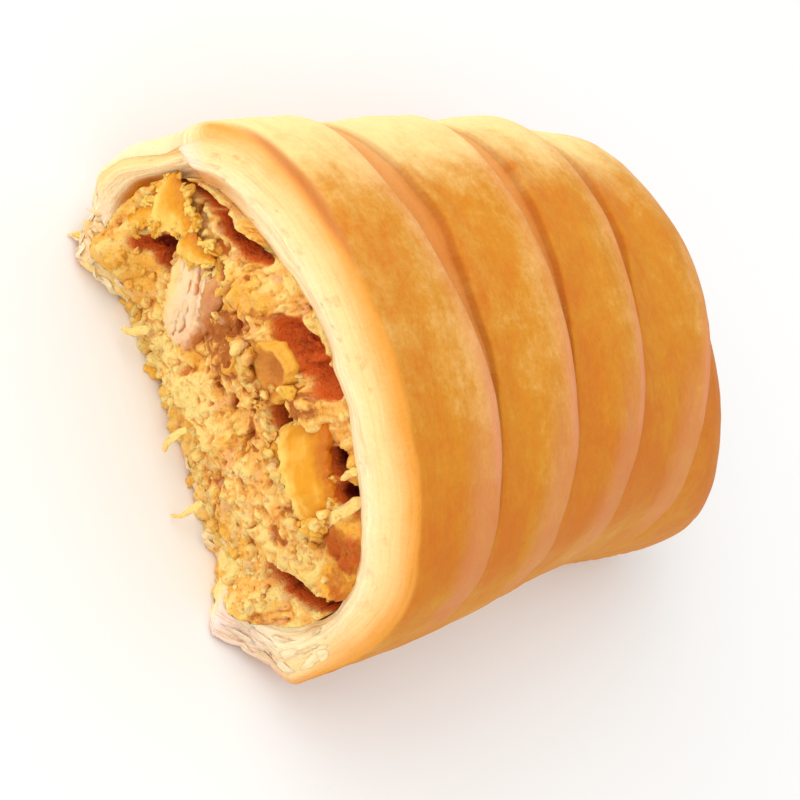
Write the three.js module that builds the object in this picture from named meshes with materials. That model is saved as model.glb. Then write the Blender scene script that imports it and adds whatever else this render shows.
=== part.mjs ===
// Savoury strudel, torn open at one end: a puffed pastry crust with slits across its lid, round a
// filling that runs from the torn end to the closed one. Millimetres, +Z up, the flat base at z 0.
// The loaf lies along X: the torn end faces -X, the closed end +X, and its two sides are -Y and +Y.
import * as THREE from "three";
import { ParametricGeometry } from "three/addons/geometries/ParametricGeometry.js";

// Driving dimensions.
const WIDTH = 62;
const LENGTH = 83; // from the torn edge of the lid to the closed end
const HEIGHT = 37; // at the crown, without the swell of the ribs

// The loaf's outline.
const BELLY_HEIGHT = 6.5; // where the section is widest, above the base
const LID_SQUARENESS = 3.5; // exponent of the section: high shoulders and steep sides
const LID_ROUNDNESS = 2.05;
const BASE_SQUARENESS = 5;
const TAPER = 0.053; // share of the width lost towards the closed end
const SLOPE_LENGTH = 54; // the stretch over which the lid comes down to the closed end
const END_SHARE = 0.38; // height of the closed end's edge, as a share of HEIGHT
const CORNER_RADIUS = 5.2; // corners of the closed end, in plan
const EDGE_RADIUS = 6.4; // rounding of the closed end's edge, top and bottom
const NEAR_SWELL = 3.2; // how far the -Y side bulges behind the torn end
const NEAR_SWELL_AT = 19;
const NEAR_SWELL_LENGTH = 32;
const NEAR_WAIST = 1.4; // how far the -Y side draws in again past that
const NEAR_WAIST_AT = 31;
const NEAR_WAIST_LENGTH = 24;
const NEAR_FLARE = 3.2; // how far the closed end's -Y corner stands out
const NEAR_FLARE_START = 48;
const NEAR_FLARE_LENGTH = 32;
const FAR_TAPER = 3; // how far the +Y side draws in towards the closed end
const FAR_TAPER_START = 48;
const FAR_TAPER_LENGTH = 26;
const LAST_RIB_RISE = 2.2; // how far the last slit's stretch of the lid stands over its slope
const LAST_RIB_AT = 67;
const LAST_RIB_LENGTH = 8;
const END_BOW = 5; // how far the closed end bulges between its corners

// Slits and the ribs between them.
// Where each slit crosses the lid: its places along X at its -Y end, on the crown and at its +Y end.
const SLIT_LINES = [
  [13.2, 15.8, 12.8],
  [26.8, 32.4, 33.4],
  [41.2, 49.2, 49.2],
  [59.4, 67.4, 65.2],
];
const SLIT_HALF_WIDTH = 2;
const SLIT_DEPTH = 2.8;
const SLIT_BORDER = 2.2; // from a slit's lip to where the rib is level again
const RIB_HALF_LENGTH = 8;
const NEAR_REACH = 0.15; // a slit's run from the crown towards -Y, as a share of the way round
const FAR_REACH = 0.215; // and towards +Y
const RIB_SWELL = 1.1;

// Walls of the crust.
const LID_WALL = 8.8;
const SIDE_WALL = 6.5;
const BASE_WALL = 3.6;
const END_WALL = 8;
const CAVITY_CORNER = 4.5; // exponent: the cavity follows the crust's section a little more squarely

// The mouth, where the cavity opens at the torn end.
const MOUTH_CORNER = 2.9; // exponent: rounder than the cavity
const MOUTH_LENGTH = 8;
const MOUTH_NEAR_WALL = 6;
const MOUTH_FAR_WALL = 4;
const THROAT = 1.2; // place along X up to which the cavity keeps the mouth's outline
const MOUTH_FAR_SAG = 2; // how much thicker the lid is over the +Y half
const MOUTH_NEAR_SAG = 1;

// The torn edge: the base's two corners stand out past the lid.
const TORN_LID = 1; // place of the lid's torn edge along X
const NEAR_TONGUE = 5.4;
const FAR_TONGUE = 6;
const NEAR_TONGUE_PLACE = 24; // off the middle line
const FAR_TONGUE_PLACE = 23;
const TONGUE_HALF_WIDTH = 4;
const FAR_SIDE_TONGUE = 2.2; // the +Y side's lower part

// The filling.
const FIT_GAP = 0.35;
const FACE_OVERHANG = 2.4; // how far the filling bulges out past the torn edge, low on its face
const FACE_RECESS = 3; // how far it stays back under the lid
const HOLLOW_DEPTH = 2.6; // gap left under the lid at the torn end
const HOLLOW_LENGTH = 12;
const LUMP = 0.9;

// Mesh density.
const ROUND_STEPS = 56;
const FILL_STEPS = 40;
const OUTLINE_SAMPLES = 90;
const STATIONS = [5, 9, 14, 20, 26, 33, 40, 47, 54, 60, 65, 70]; // places of the cavity's rings along X

const { abs, cos, sin, sqrt, exp, sign, min, max, PI } = Math;
const clamp01 = (t) => min(1, max(0, t));
const smooth = (t) => clamp01(t) ** 2 * (3 - 2 * clamp01(t));
const hill = (s, at, wide) => exp(-(((s - at) / wide) ** 2));
// Depth of a quarter round of radius r, at a share t of the way from its start to its end.
const quarterRound = (t, r) => r * (1 - sqrt(1 - clamp01(t) ** 2));
const upTo = (count) => Array.from({ length: count }, (_, i) => i);

// Half the width in plan at x, on the -Y side (near) and on the +Y side (far).
function halfWidths(x) {
  const body = (WIDTH / 2) * (1 - (TAPER * x) / LENGTH);
  const corner = quarterRound((x - (LENGTH - CORNER_RADIUS)) / CORNER_RADIUS, CORNER_RADIUS);
  const swell = NEAR_SWELL * hill(x, NEAR_SWELL_AT, NEAR_SWELL_LENGTH);
  const waist = NEAR_WAIST * hill(x, NEAR_WAIST_AT, NEAR_WAIST_LENGTH);
  const flare = NEAR_FLARE * smooth((x - NEAR_FLARE_START) / NEAR_FLARE_LENGTH);
  const taper = FAR_TAPER * smooth((x - FAR_TAPER_START) / FAR_TAPER_LENGTH);
  return { near: body + swell - waist + flare - corner, far: body - taper - corner };
}

// Height of the lid at x, level until SLOPE_LENGTH from the closed end.
function crownHeight(x) {
  const t = clamp01((x - (LENGTH - SLOPE_LENGTH)) / SLOPE_LENGTH);
  const fall = sqrt(1 - min(1, t ** 2.2));
  const edge = quarterRound((x - (LENGTH - EDGE_RADIUS)) / EDGE_RADIUS, EDGE_RADIUS);
  const rise = LAST_RIB_RISE * hill(x, LAST_RIB_AT, LAST_RIB_LENGTH);
  return HEIGHT * (END_SHARE + (1 - END_SHARE) * fall) + rise - edge;
}

// Height of the underside at x: flat, and turned up at the closed end's edge.
const underside = (x) => quarterRound((x - (LENGTH - EDGE_RADIUS)) / EDGE_RADIUS, EDGE_RADIUS * 0.5);

// A section, as points spaced evenly round it from the middle of its base, by the -Y side and the
// crown, back to the base. The lid and the base are half superellipses that meet at the belly.
function section({ near, far, top, belly, bottom, squareness, count }) {
  const outline = [];
  for (const i of upTo(OUTLINE_SAMPLES)) {
    const angle = (2 * PI * i) / OUTLINE_SAMPLES;
    const across = -sin(angle);
    const up = -cos(angle);
    const lid = up > 0;
    const power = lid ? 2 / LID_ROUNDNESS : 2 / BASE_SQUARENESS;
    const y = (across < 0 ? near : far) * sign(across) * abs(across) ** power;
    const rise = abs(up) ** (lid ? 2 / squareness : 1);
    const z = lid ? belly + (top - belly) * rise : belly - (belly - bottom + 0.3) * rise;
    outline.push(new THREE.Vector2(y, max(z, bottom)));
  }
  outline.push(outline[0].clone());
  const path = new THREE.CurvePath();
  outline.slice(1).forEach((p, i) => path.add(new THREE.LineCurve(outline[i], p)));
  return upTo(count).map((i) => path.getPointAt(i / count));
}

// How far a slit opens at s, a share of the way round: 1 at the crown, 0 at its ends.
const slitOpening = (s) => sqrt(max(0, 1 - ((s - 0.5) / (s < 0.5 ? NEAR_REACH : FAR_REACH)) ** 2));

// A slit's place along X at s. Past its two ends the line keeps their places, until they meet under
// the base.
function slitPlace([near, crown, far], s) {
  const end = s < 0.5 ? near : far;
  const reach = s < 0.5 ? NEAR_REACH : FAR_REACH;
  const line = crown + (end - crown) * smooth(abs(s - 0.5) / reach);
  return line + ((near + far) / 2 - line) * smooth((abs(s - 0.5) - 0.3) / 0.2);
}

// Swell of the ribs over the plain lid at x: none at a slit, most midway to the next.
function ribSwell(x, s) {
  const away = min(...SLIT_LINES.map((line) => abs(x - slitPlace(line, s)))) / RIB_HALF_LENGTH;
  const along = smooth((LENGTH - 3 - x) / 10);
  return RIB_SWELL * sin((clamp01(away) * PI) / 2) ** 0.8 * along * slitOpening(s) ** 0.7;
}

// The torn edge's place along X at (y, z): forward at the base's two corners.
function tornEdge(y, z) {
  const near = NEAR_TONGUE * hill(y, -NEAR_TONGUE_PLACE, TONGUE_HALF_WIDTH);
  const far = FAR_TONGUE * hill(y, FAR_TONGUE_PLACE, TONGUE_HALF_WIDTH);
  const tongue = (near + far) * smooth((10 - z) / 6);
  const farSide = FAR_SIDE_TONGUE * smooth((y - 24) / 3) * smooth((16 - z) / 6);
  return TORN_LID - tongue - farSide;
}

// The closed end bulges between its corners: points off the middle line are drawn back.
function bowed(x, y) {
  const share = clamp01((x - LENGTH * 0.55) / (LENGTH * 0.45));
  return x - END_BOW * share * (y / (WIDTH / 2)) ** 2;
}

// The outer skin's plain section at x.
function plainSection(x) {
  const bottom = underside(x);
  const top = crownHeight(x);
  return section({
    ...halfWidths(x),
    top,
    belly: min(BELLY_HEIGHT, (top + bottom) / 2),
    bottom,
    squareness: LID_SQUARENESS,
    count: ROUND_STEPS,
  });
}

// One ring of the outer skin. `place` gives each point's place along X, by its share s of the way
// round the ring, and `sink` takes it inwards.
function skinRing(place, sink = () => 0) {
  return upTo(ROUND_STEPS).map((i) => {
    const s = i / ROUND_STEPS;
    const x = place(s);
    const p = plainSection(x)[i];
    const outward = p.clone().sub(new THREE.Vector2(0, crownHeight(x) * 0.45)).normalize();
    const onLid = s > 0.25 && s < 0.75;
    const lift = onLid ? ribSwell(x, s) - sink(s) : 0;
    const q = p.addScaledVector(outward, lift);
    return new THREE.Vector3(bowed(x, q.x), q.x, q.y);
  });
}

// Four rings that form one slit: lip, foot, foot, lip. The lips close up at the slit's two ends.
function slitRings(line) {
  const places = [
    [-1, 0],
    [-0.55, 1],
    [0.55, 1],
    [1, 0],
  ];
  return places.map(([side, deep]) =>
    skinRing(
      (s) => slitPlace(line, s) + side * (0.25 + SLIT_HALF_WIDTH * slitOpening(s)),
      (s) => deep * SLIT_DEPTH * slitOpening(s) ** 0.6,
    ),
  );
}

// One ring of the cavity's wall, drawn in from it by `gap`. Towards the throat it takes the mouth's
// outline.
function cavityRing(x, { gap = 0, count = ROUND_STEPS, hollow = 0 } = {}) {
  const mouth = 1 - smooth((x - THROAT) / MOUTH_LENGTH);
  const towards = (plain, open) => plain + (open - plain) * mouth;
  const floor = BASE_WALL + gap;
  const top = max(floor + 4, crownHeight(x) - LID_WALL - hollow - gap);
  const { near, far } = halfWidths(max(0, x));
  const sag = (y) => MOUTH_FAR_SAG * smooth((y - 4) / 12) + MOUTH_NEAR_SAG * smooth((-y - 6) / 10);
  return section({
    near: near - towards(SIDE_WALL, MOUTH_NEAR_WALL) - gap,
    far: far - towards(SIDE_WALL, MOUTH_FAR_WALL) - gap,
    top,
    belly: floor + (top - floor) * 0.3,
    bottom: floor,
    squareness: towards(CAVITY_CORNER, MOUTH_CORNER),
    count,
  }).map((p) => new THREE.Vector3(x, p.x, p.y - mouth * sag(p.x) * smooth((p.y - 10) / 8)));
}

// A closed surface through a list of rings, each with the same number of points, between two poles.
function closedSurface(rings) {
  const count = rings[0].length;
  const pole = (ring) => {
    const centre = ring.reduce((sum, p) => sum.add(p), new THREE.Vector3()).divideScalar(count);
    return upTo(count).map(() => centre);
  };
  const all = [pole(rings[0]), ...rings, pole(rings.at(-1))];
  const stacks = all.length - 1;
  const point = (u, v, target) =>
    target.copy(all[Math.round((1 - v) * stacks)][Math.round(u * count) % count]);
  return new ParametricGeometry(point, count, stacks);
}

function crustGeometry() {
  const inner = [THROAT, ...STATIONS, LENGTH - END_WALL].reverse().map((x) => cavityRing(x));
  const mouth = cavityRing(0).map((p) => p.setX(tornEdge(p.y, p.z) - 0.6));
  const outerEdge = skinRing(() => 0).map((p) => p.setX(tornEdge(p.y, p.z)));
  const rim = mouth.map((p, i) => p.clone().lerp(outerEdge[i], 0.5).add(new THREE.Vector3(-0.5, 0, 0)));
  const border = SLIT_HALF_WIDTH + SLIT_BORDER;
  const ribs = SLIT_LINES.flatMap((line, i) => {
    const before = (s) => (i > 0 ? slitPlace(SLIT_LINES[i - 1], s) : TORN_LID);
    return [
      skinRing((s) => (before(s) + slitPlace(line, s)) / 2),
      skinRing((s) => slitPlace(line, s) - border),
      ...slitRings(line),
      skinRing((s) => slitPlace(line, s) + border),
    ];
  });
  const last = (s) => slitPlace(SLIT_LINES.at(-1), s) + border;
  const end = [0.2, 0.42, 0.62, 0.78, 0.9, 0.97, 1].map((t) =>
    skinRing((s) => last(s) + (LENGTH - last(s)) * sin((t * PI) / 2)),
  );
  return closedSurface([...inner, mouth, rim, outerEdge, skinRing(() => 2.5), ...ribs, ...end]);
}

// The filling's face, as x at (y, z): out over the base, back under the lid, with soft lumps.
function facePlace(y, z) {
  const up = clamp01(z / (HEIGHT - LID_WALL));
  const side = clamp01(abs(y) / (WIDTH / 2 - SIDE_WALL));
  const lumps = sin(y * 0.55 + 1) * cos(z * 0.7) + 0.6 * sin(y * 0.23 - z * 0.4);
  const slant = -FACE_OVERHANG + (FACE_OVERHANG + FACE_RECESS) * up ** 1.2;
  return slant + 3.5 * side ** 4 + LUMP * lumps;
}

function fillingGeometry() {
  const ring = (x) => {
    const hollow = HOLLOW_DEPTH * smooth((HOLLOW_LENGTH - x) / HOLLOW_LENGTH);
    return cavityRing(x, { gap: FIT_GAP, count: FILL_STEPS, hollow });
  };
  const neck = ring(THROAT);
  // The face's outline is a little narrower than the mouth.
  const outline = neck.map((p) => new THREE.Vector3(0, p.y * 0.93, p.z));
  const centre = new THREE.Vector3(0, 0, HEIGHT * 0.38);
  const face = [0.2, 0.4, 0.6, 0.8, 0.94].map((share) =>
    outline.map((p) => {
      const q = centre.clone().lerp(p, share);
      return q.setX(facePlace(q.y, q.z));
    }),
  );
  const shoulder = outline.map((p) => p.clone().setX(min(2, facePlace(p.y, p.z) * 0.6 + 0.6)));
  neck.forEach((p) => (p.x += 2 * clamp01(p.z / (HEIGHT - LID_WALL)) ** 3));
  const body = [...STATIONS, LENGTH - END_WALL - 1.5].map((x) => ring(x));
  return closedSurface([...face, shoulder, neck, ...body]);
}

const bakedPastry = new THREE.MeshStandardMaterial({ name: "baked pastry", color: 0xdd9a45, roughness: 0.5 });
const filling = new THREE.MeshStandardMaterial({ name: "filling", color: 0xe6ad55, roughness: 0.6 });

const strudel = new THREE.Group();
const pieces = [
  ["pastry_crust", crustGeometry(), bakedPastry],
  ["filling", fillingGeometry(), filling],
];
for (const [name, geometry, material] of pieces) {
  const mesh = new THREE.Mesh(geometry, material);
  mesh.name = name;
  strudel.add(mesh);
}

// The origin is under the middle of the whole piece, on the plane it rests on.
const box = new THREE.Box3().setFromObject(strudel, true);
const middle = box.getCenter(new THREE.Vector3());
strudel.position.set(-middle.x, -middle.y, -box.min.z);

export default strudel;
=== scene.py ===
"""A torn piece of savoury strudel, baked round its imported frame.

The loaf lies along X with its torn end towards -X. Shapes are worked out in millimetres of the loaf
itself, with x 0 at the torn edge of the lid and z 0 under the base, and placed in the frame at the end.
"""

import math

import bpy
import numpy as np
from mathutils import Matrix, Vector


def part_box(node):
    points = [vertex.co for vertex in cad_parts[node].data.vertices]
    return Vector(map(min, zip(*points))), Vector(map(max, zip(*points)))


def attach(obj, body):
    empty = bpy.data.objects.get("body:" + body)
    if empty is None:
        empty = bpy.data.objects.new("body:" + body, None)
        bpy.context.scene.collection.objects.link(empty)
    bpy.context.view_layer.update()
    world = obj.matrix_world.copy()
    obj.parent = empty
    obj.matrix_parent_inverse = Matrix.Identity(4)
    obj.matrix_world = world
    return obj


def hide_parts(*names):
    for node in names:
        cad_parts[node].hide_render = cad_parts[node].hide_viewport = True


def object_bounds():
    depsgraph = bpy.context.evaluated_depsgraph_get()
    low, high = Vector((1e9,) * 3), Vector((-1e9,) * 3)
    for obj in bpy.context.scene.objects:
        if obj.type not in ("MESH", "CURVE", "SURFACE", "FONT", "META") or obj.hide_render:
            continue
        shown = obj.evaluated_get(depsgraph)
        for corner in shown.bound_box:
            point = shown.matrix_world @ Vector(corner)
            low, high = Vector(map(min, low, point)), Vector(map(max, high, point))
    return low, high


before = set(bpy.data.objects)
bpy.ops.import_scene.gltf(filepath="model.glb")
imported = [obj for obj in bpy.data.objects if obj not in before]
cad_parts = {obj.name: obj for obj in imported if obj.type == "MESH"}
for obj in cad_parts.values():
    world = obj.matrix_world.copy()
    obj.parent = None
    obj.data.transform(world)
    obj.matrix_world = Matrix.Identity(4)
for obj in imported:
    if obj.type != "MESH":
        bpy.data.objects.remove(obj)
CAD_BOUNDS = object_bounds()
CRUST_LOW, CRUST_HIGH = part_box("pastry_crust")

bl_info = {
    "name": "Savoury strudel piece",
    "version": (1, 0, 0),
    "blender": (4, 5, 0),
    "location": "3D View > Sidebar > Strudel",
    "description": "Makes the crust and filling of a torn piece of savoury strudel",
    "category": "Add Mesh",
}

MM = 0.001

# The loaf's outline, in millimetres.
WIDTH = 62
LENGTH = 83
HEIGHT = 37
BELLY_HEIGHT = 6.5
LID_SQUARENESS = 3.5
LID_ROUNDNESS = 2.05
BASE_SQUARENESS = 5
TAPER = 0.053
SLOPE_LENGTH = 54
END_SHARE = 0.38
CORNER_RADIUS = 5.2
EDGE_RADIUS = 6.4
NEAR_SWELL = 3.2
NEAR_SWELL_AT = 19
NEAR_SWELL_LENGTH = 32
NEAR_FLARE = 3.2
NEAR_FLARE_START = 48
NEAR_FLARE_LENGTH = 32
NEAR_WAIST = 1.4
NEAR_WAIST_AT = 31
NEAR_WAIST_LENGTH = 24
FAR_TAPER = 3.0
FAR_TAPER_START = 48
FAR_TAPER_LENGTH = 26
LAST_RIB_RISE = 2.2
LAST_RIB_AT = 67
LAST_RIB_LENGTH = 8
END_BOW = 5

# Walls, the mouth and the torn edge.
LID_WALL = 8.8
SIDE_WALL = 6.5
BASE_WALL = 3.6
CAVITY_CORNER = 4.5
CAVITY_END = 74
MOUTH_CORNER = 2.9
MOUTH_LENGTH = 8
MOUTH_NEAR_WALL = 6
MOUTH_FAR_WALL = 4
MOUTH_FAR_SAG = 2.0
MOUTH_NEAR_SAG = 1
THROAT = 1.2
TORN_LID = 1
NEAR_TONGUE = 5.4
FAR_TONGUE = 6
NEAR_TONGUE_PLACE = 24
FAR_TONGUE_PLACE = 23
TONGUE_HALF_WIDTH = 4
FAR_SIDE_TONGUE = 2.2

# Where the camera stands: the way it looks and its tilt about that way, in degrees, its distance in metres,
# and what it aims at, as shares of the box.
CAMERA_AZIMUTH = -80.83
CAMERA_ELEVATION = 41.97
CAMERA_ROLL = 63.86
CAMERA_DISTANCE = 0.2189
CAMERA_LENS = 76
CAMERA_AIM = (0.41, 0.46, 0.22)
CAMERA_SENSOR = 36

# The floor and the studio's light, in metres and watts.
FLOOR_HALF = 2.0
FLOOR_TONES = ((0.93, 0.945, 0.96), (0.95, 0.965, 0.98))
ROOM_COLOUR = (1.0, 0.985, 0.96, 1.0)
ROOM_STRENGTH = 0.86
LAMP_COLOUR = (1.0, 0.97, 0.92)
LAMP_DISTANCE = 0.8
LAMP_AIM = (0.0, 0.0, 0.015)
# Each lamp's name, the way to it, its width and its power.
LAMPS = (
    ("key", (-0.56, 0.74, 0.55), 1.2, 4.0),
    ("fill", (-0.9, -0.5, 0.35), 0.8, 1.1),
)


# ---------------------------------------------------------------- properties


def length_property(name, description, default):
    """A size in metres, given here in millimetres."""
    return bpy.props.FloatProperty(
        name=name, description=description, default=default * MM, min=0.0, unit="LENGTH", precision=5
    )


def colour_property(name, description, default):
    """A colour, given here as the red, green and blue of a screen, from 0 to 255."""
    linear = [((c / 255 + 0.055) / 1.055) ** 2.4 if c > 10 else c / 255 / 12.92 for c in default]
    return bpy.props.FloatVectorProperty(
        name=name, description=description, default=linear, size=3, min=0.0, max=1.0, subtype="COLOR"
    )


class StrudelShape(bpy.types.PropertyGroup):
    """Sizes that a baker would change."""

    rib_swell: length_property("Rib swell", "How far the ribs puff up between the slits", 1.1)
    slit_depth: length_property("Slit depth", "Depth of a slit where it is deepest", 2.3)
    skin_relief: length_property("Skin relief", "Unevenness of the baked skin", 0.35)
    layer_relief: length_property("Layer relief", "Depth between the layers of the torn dough", 0.3)
    paste_relief: length_property("Paste relief", "Coarseness of the filling", 1.0)
    seed: bpy.props.IntProperty(name="Seed", description="Another seed gives another piece", default=7)


class StrudelColours(bpy.types.PropertyGroup):
    """Colours of the finishes."""

    # Own browning, and painted shade just after each slit and on the side away from the key lamp.
    glaze_deep_and_shade: colour_property("Deep glaze", "Crust where it browned most", (211, 120, 40))
    glaze: colour_property("Glaze", "Egg-washed crust", (215, 144, 44))
    # Own paler glaze, and painted light over the far shoulder.
    glaze_pale_and_lit: colour_property("Pale glaze", "Crust where the dough stretched", (236, 180, 106))
    lip: colour_property("Lip", "Unglazed edge of a slit", (226, 150, 112))
    # Painted light: the pale skin over the far shoulder, where the key lamp falls.
    painted_shoulder_light: colour_property("Stretched skin", "Pale skin over the far shoulder", (252, 228, 158))
    groove: colour_property("Groove", "Bottom of a slit", (228, 146, 76))
    # Painted shade under each slit's lip and along the crease by the band.
    crevice_shade: colour_property("Crack", "Under a slit's lip", (156, 70, 16))
    dough: colour_property("Dough", "Torn dough", (252, 232, 186))
    dough_mid: colour_property("Middle dough", "Torn dough half way out", (250, 212, 148))
    dough_shade: colour_property("Dough shade", "Darker sheets of torn dough", (236, 190, 134))
    dough_edge: colour_property("Dough edge", "Torn dough next to the skin", (238, 160, 68))
    # Also the painted highlight along the edge of the fold.
    dough_pink_and_fold_highlight: colour_property("Raw dough", "Damp dough at the base", (255, 232, 220))
    # Also painted shade inside the far roll and under the far lid.
    dough_stain_and_shade: colour_property("Stained dough", "Inner dough stained by the filling", (214, 138, 44))
    paste: colour_property("Paste", "Filling", (250, 186, 90))
    paste_light: colour_property("Light paste", "Palest filling", (255, 220, 134))
    # Also painted shade in the paste's creases and dents.
    paste_brown_and_shade: colour_property("Brown paste", "Filling with mushroom in it", (186, 106, 38))
    paste_amber: colour_property("Amber paste", "Lightly spiced filling", (253, 186, 66))
    paste_orange: colour_property("Orange paste", "Filling stained by spice", (196, 92, 16))
    paste_pink: colour_property("Pink paste", "Bits of chicken in the paste", (238, 184, 132))
    # Painted shade in the filling's gaps, pits and creases, darkest in the deepest gaps.
    gap_shade: colour_property("Hollow", "Wet brown inside the gaps", (226, 106, 36))
    deep_gap_shade: colour_property("Deep hollow", "Bottom of the deepest gaps", (122, 28, 6))
    chicken: colour_property("Chicken", "Pale side of the chicken", (250, 208, 164))
    # Painted shade on the side of the chicken turned from the lamps.
    chicken_shade: colour_property("Chicken shade", "Stained side of the chicken", (190, 112, 50))
    # Paste on the chicken, and painted light on its side turned to the lamps.
    chicken_paste_and_lit: colour_property("Chicken edge", "Side of the chicken coated in paste", (248, 206, 126))
    strip: colour_property("Strip", "Yellow strip and shreds", (226, 153, 20))
    # Painted shade on the side of the strip and shreds turned from the lamps.
    strip_shade: colour_property("Strip shade", "Browned side of the strip", (200, 110, 14))
    # Painted light on the side of the strip and shreds turned to the lamps, and the colour of their pale
    # crumbs.
    strip_pale_and_lit: colour_property("Strip edge", "Pale cut edge of the strip", (254, 212, 110))
    mushroom: colour_property("Mushroom", "Sliced mushroom", (220, 146, 60))
    mushroom_rim: colour_property("Mushroom rim", "Edge of the slice", (232, 170, 62))
    mushroom_heart: colour_property("Mushroom heart", "Middle of the slice", (196, 118, 46))


# ---------------------------------------------------------------- numbers


def clamp(t):
    """t kept between 0 and 1."""
    return np.clip(t, 0.0, 1.0)


def smooth(t):
    """A soft step from 0 to 1 as t goes from 0 to 1."""
    t = clamp(t)
    return t * t * (3 - 2 * t)


def hill(t, at, wide):
    """A soft hump of height 1."""
    return np.exp(-(((t - at) / wide) ** 2))


def quarter_round(t, radius):
    """Depth of a quarter round at a share t of the way from its start to its end."""
    return radius * (1 - np.sqrt(1 - clamp(t) ** 2))


def mix(a, b, share):
    """a where share is 0 and b where it is 1."""
    return a + (b - a) * share


def scramble(cell, seed):
    """A repeatable share from 0 to 1 for each cell of whole numbers."""
    value = np.full(cell.shape[:-1], (seed * 2654435761 + 97) % 2**32, np.uint64)
    for axis, prime in enumerate((73856093, 19349663, 83492791)):
        value ^= (cell[..., axis].astype(np.int64) * prime).astype(np.uint64) & np.uint64(0xFFFFFFFF)
        value = (value * np.uint64(2246822519)) & np.uint64(0xFFFFFFFF)
        value ^= value >> np.uint64(15)
    return value / 2.0**32


def noise(points, size, seed):
    """Smooth noise from -1 to 1, with lumps about as wide as size."""
    place = points / size
    cell = np.floor(place)
    part = smooth(place - cell)
    cell = cell.astype(np.int64)
    total = 0.0
    for corner in np.ndindex(2, 2, 2):
        weight = np.prod(np.where(corner, part, 1 - part), axis=-1)
        total = total + weight * scramble(cell + np.array(corner), seed)
    return 2 * total - 1


def rough(points, size, seed, octaves=3):
    """Noise with finer noise on it."""
    return sum(noise(points, size / 2**i, seed + i) / 2**i for i in range(octaves)) / 1.6


def stir(points, size, seed, axes=3):
    """Noise for each of several axes."""
    return np.stack([noise(points, size, seed + k) for k in range(axes)], -1)


def billows(points, size, seed, octaves=3):
    """Rounded lumps with sharp creases between them, from 0 to about 1."""
    return sum(np.abs(noise(points, size / 2**i, seed + i)) * 1.6 / 2**i for i in range(octaves)) / 1.75


def clumps(points, size, seed):
    """Distances to the nearest and next of scattered points, in sizes, and the nearest's own share."""
    place = points / size
    home = np.floor(place).astype(np.int64)
    nearest = np.full(place.shape[:-1], 9.0)
    following = nearest.copy()
    own = np.zeros_like(nearest)
    for step in np.ndindex(3, 3, 3):
        cell = home + np.array(step) - 1
        point = cell + np.stack([scramble(cell, seed + k) for k in (11, 12, 13)], -1)
        gap = np.linalg.norm(point - place, axis=-1)
        closer = gap < nearest
        following = np.where(closer, nearest, np.minimum(following, gap))
        own = np.where(closer, scramble(cell, seed + 14), own)
        nearest = np.minimum(nearest, gap)
    return nearest, following, own


def any_turn(random):
    """Three square directions, turned at random."""
    return np.linalg.qr(random.normal(size=(3, 3)))[0]


def through(knots, count):
    """Points spaced evenly along a smooth curve through the knots."""
    knots = np.asarray(knots, float)
    ends = np.vstack([2 * knots[0] - knots[1], knots, 2 * knots[-1] - knots[-2]])
    t = np.linspace(0, len(knots) - 1, count)
    i = np.minimum(t.astype(int), len(knots) - 2)
    f = (t - i)[:, None]
    a, b, c, d = ends[i], ends[i + 1], ends[i + 2], ends[i + 3]
    return 0.5 * (2 * b + (c - a) * f + (2 * a - 5 * b + 4 * c - d) * f**2 + (3 * b - a - 3 * c + d) * f**3)


# ---------------------------------------------------------------- the loaf's form


def corner_round(x):
    """How far the closed end's upright corners are rounded off."""
    return quarter_round((x - (LENGTH - CORNER_RADIUS)) / CORNER_RADIUS, CORNER_RADIUS)


def near_half(x):
    """Half the width on the -Y side."""
    body = (WIDTH / 2) * (1 - TAPER * x / LENGTH)
    swell = NEAR_SWELL * hill(x, NEAR_SWELL_AT, NEAR_SWELL_LENGTH)
    flare = NEAR_FLARE * smooth((x - NEAR_FLARE_START) / NEAR_FLARE_LENGTH)
    waist = NEAR_WAIST * hill(x, NEAR_WAIST_AT, NEAR_WAIST_LENGTH)
    return body + swell + flare - waist - corner_round(x)


def far_half(x):
    """Half the width on the +Y side."""
    body = (WIDTH / 2) * (1 - TAPER * x / LENGTH)
    taper = FAR_TAPER * smooth((x - FAR_TAPER_START) / FAR_TAPER_LENGTH)
    return body - taper - corner_round(x)


def crown_height(x):
    """Height of the lid's crown."""
    t = clamp((x - (LENGTH - SLOPE_LENGTH)) / SLOPE_LENGTH)
    fall = np.sqrt(1 - np.minimum(1, t**2.2))
    edge = quarter_round((x - (LENGTH - EDGE_RADIUS)) / EDGE_RADIUS, EDGE_RADIUS)
    rise = LAST_RIB_RISE * hill(x, LAST_RIB_AT, LAST_RIB_LENGTH)
    return HEIGHT * (END_SHARE + (1 - END_SHARE) * fall) + rise - edge


def underside(x):
    """Height of the base, which rounds up at the closed end."""
    return quarter_round((x - (LENGTH - EDGE_RADIUS)) / EDGE_RADIUS, EDGE_RADIUS * 0.5)


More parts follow.
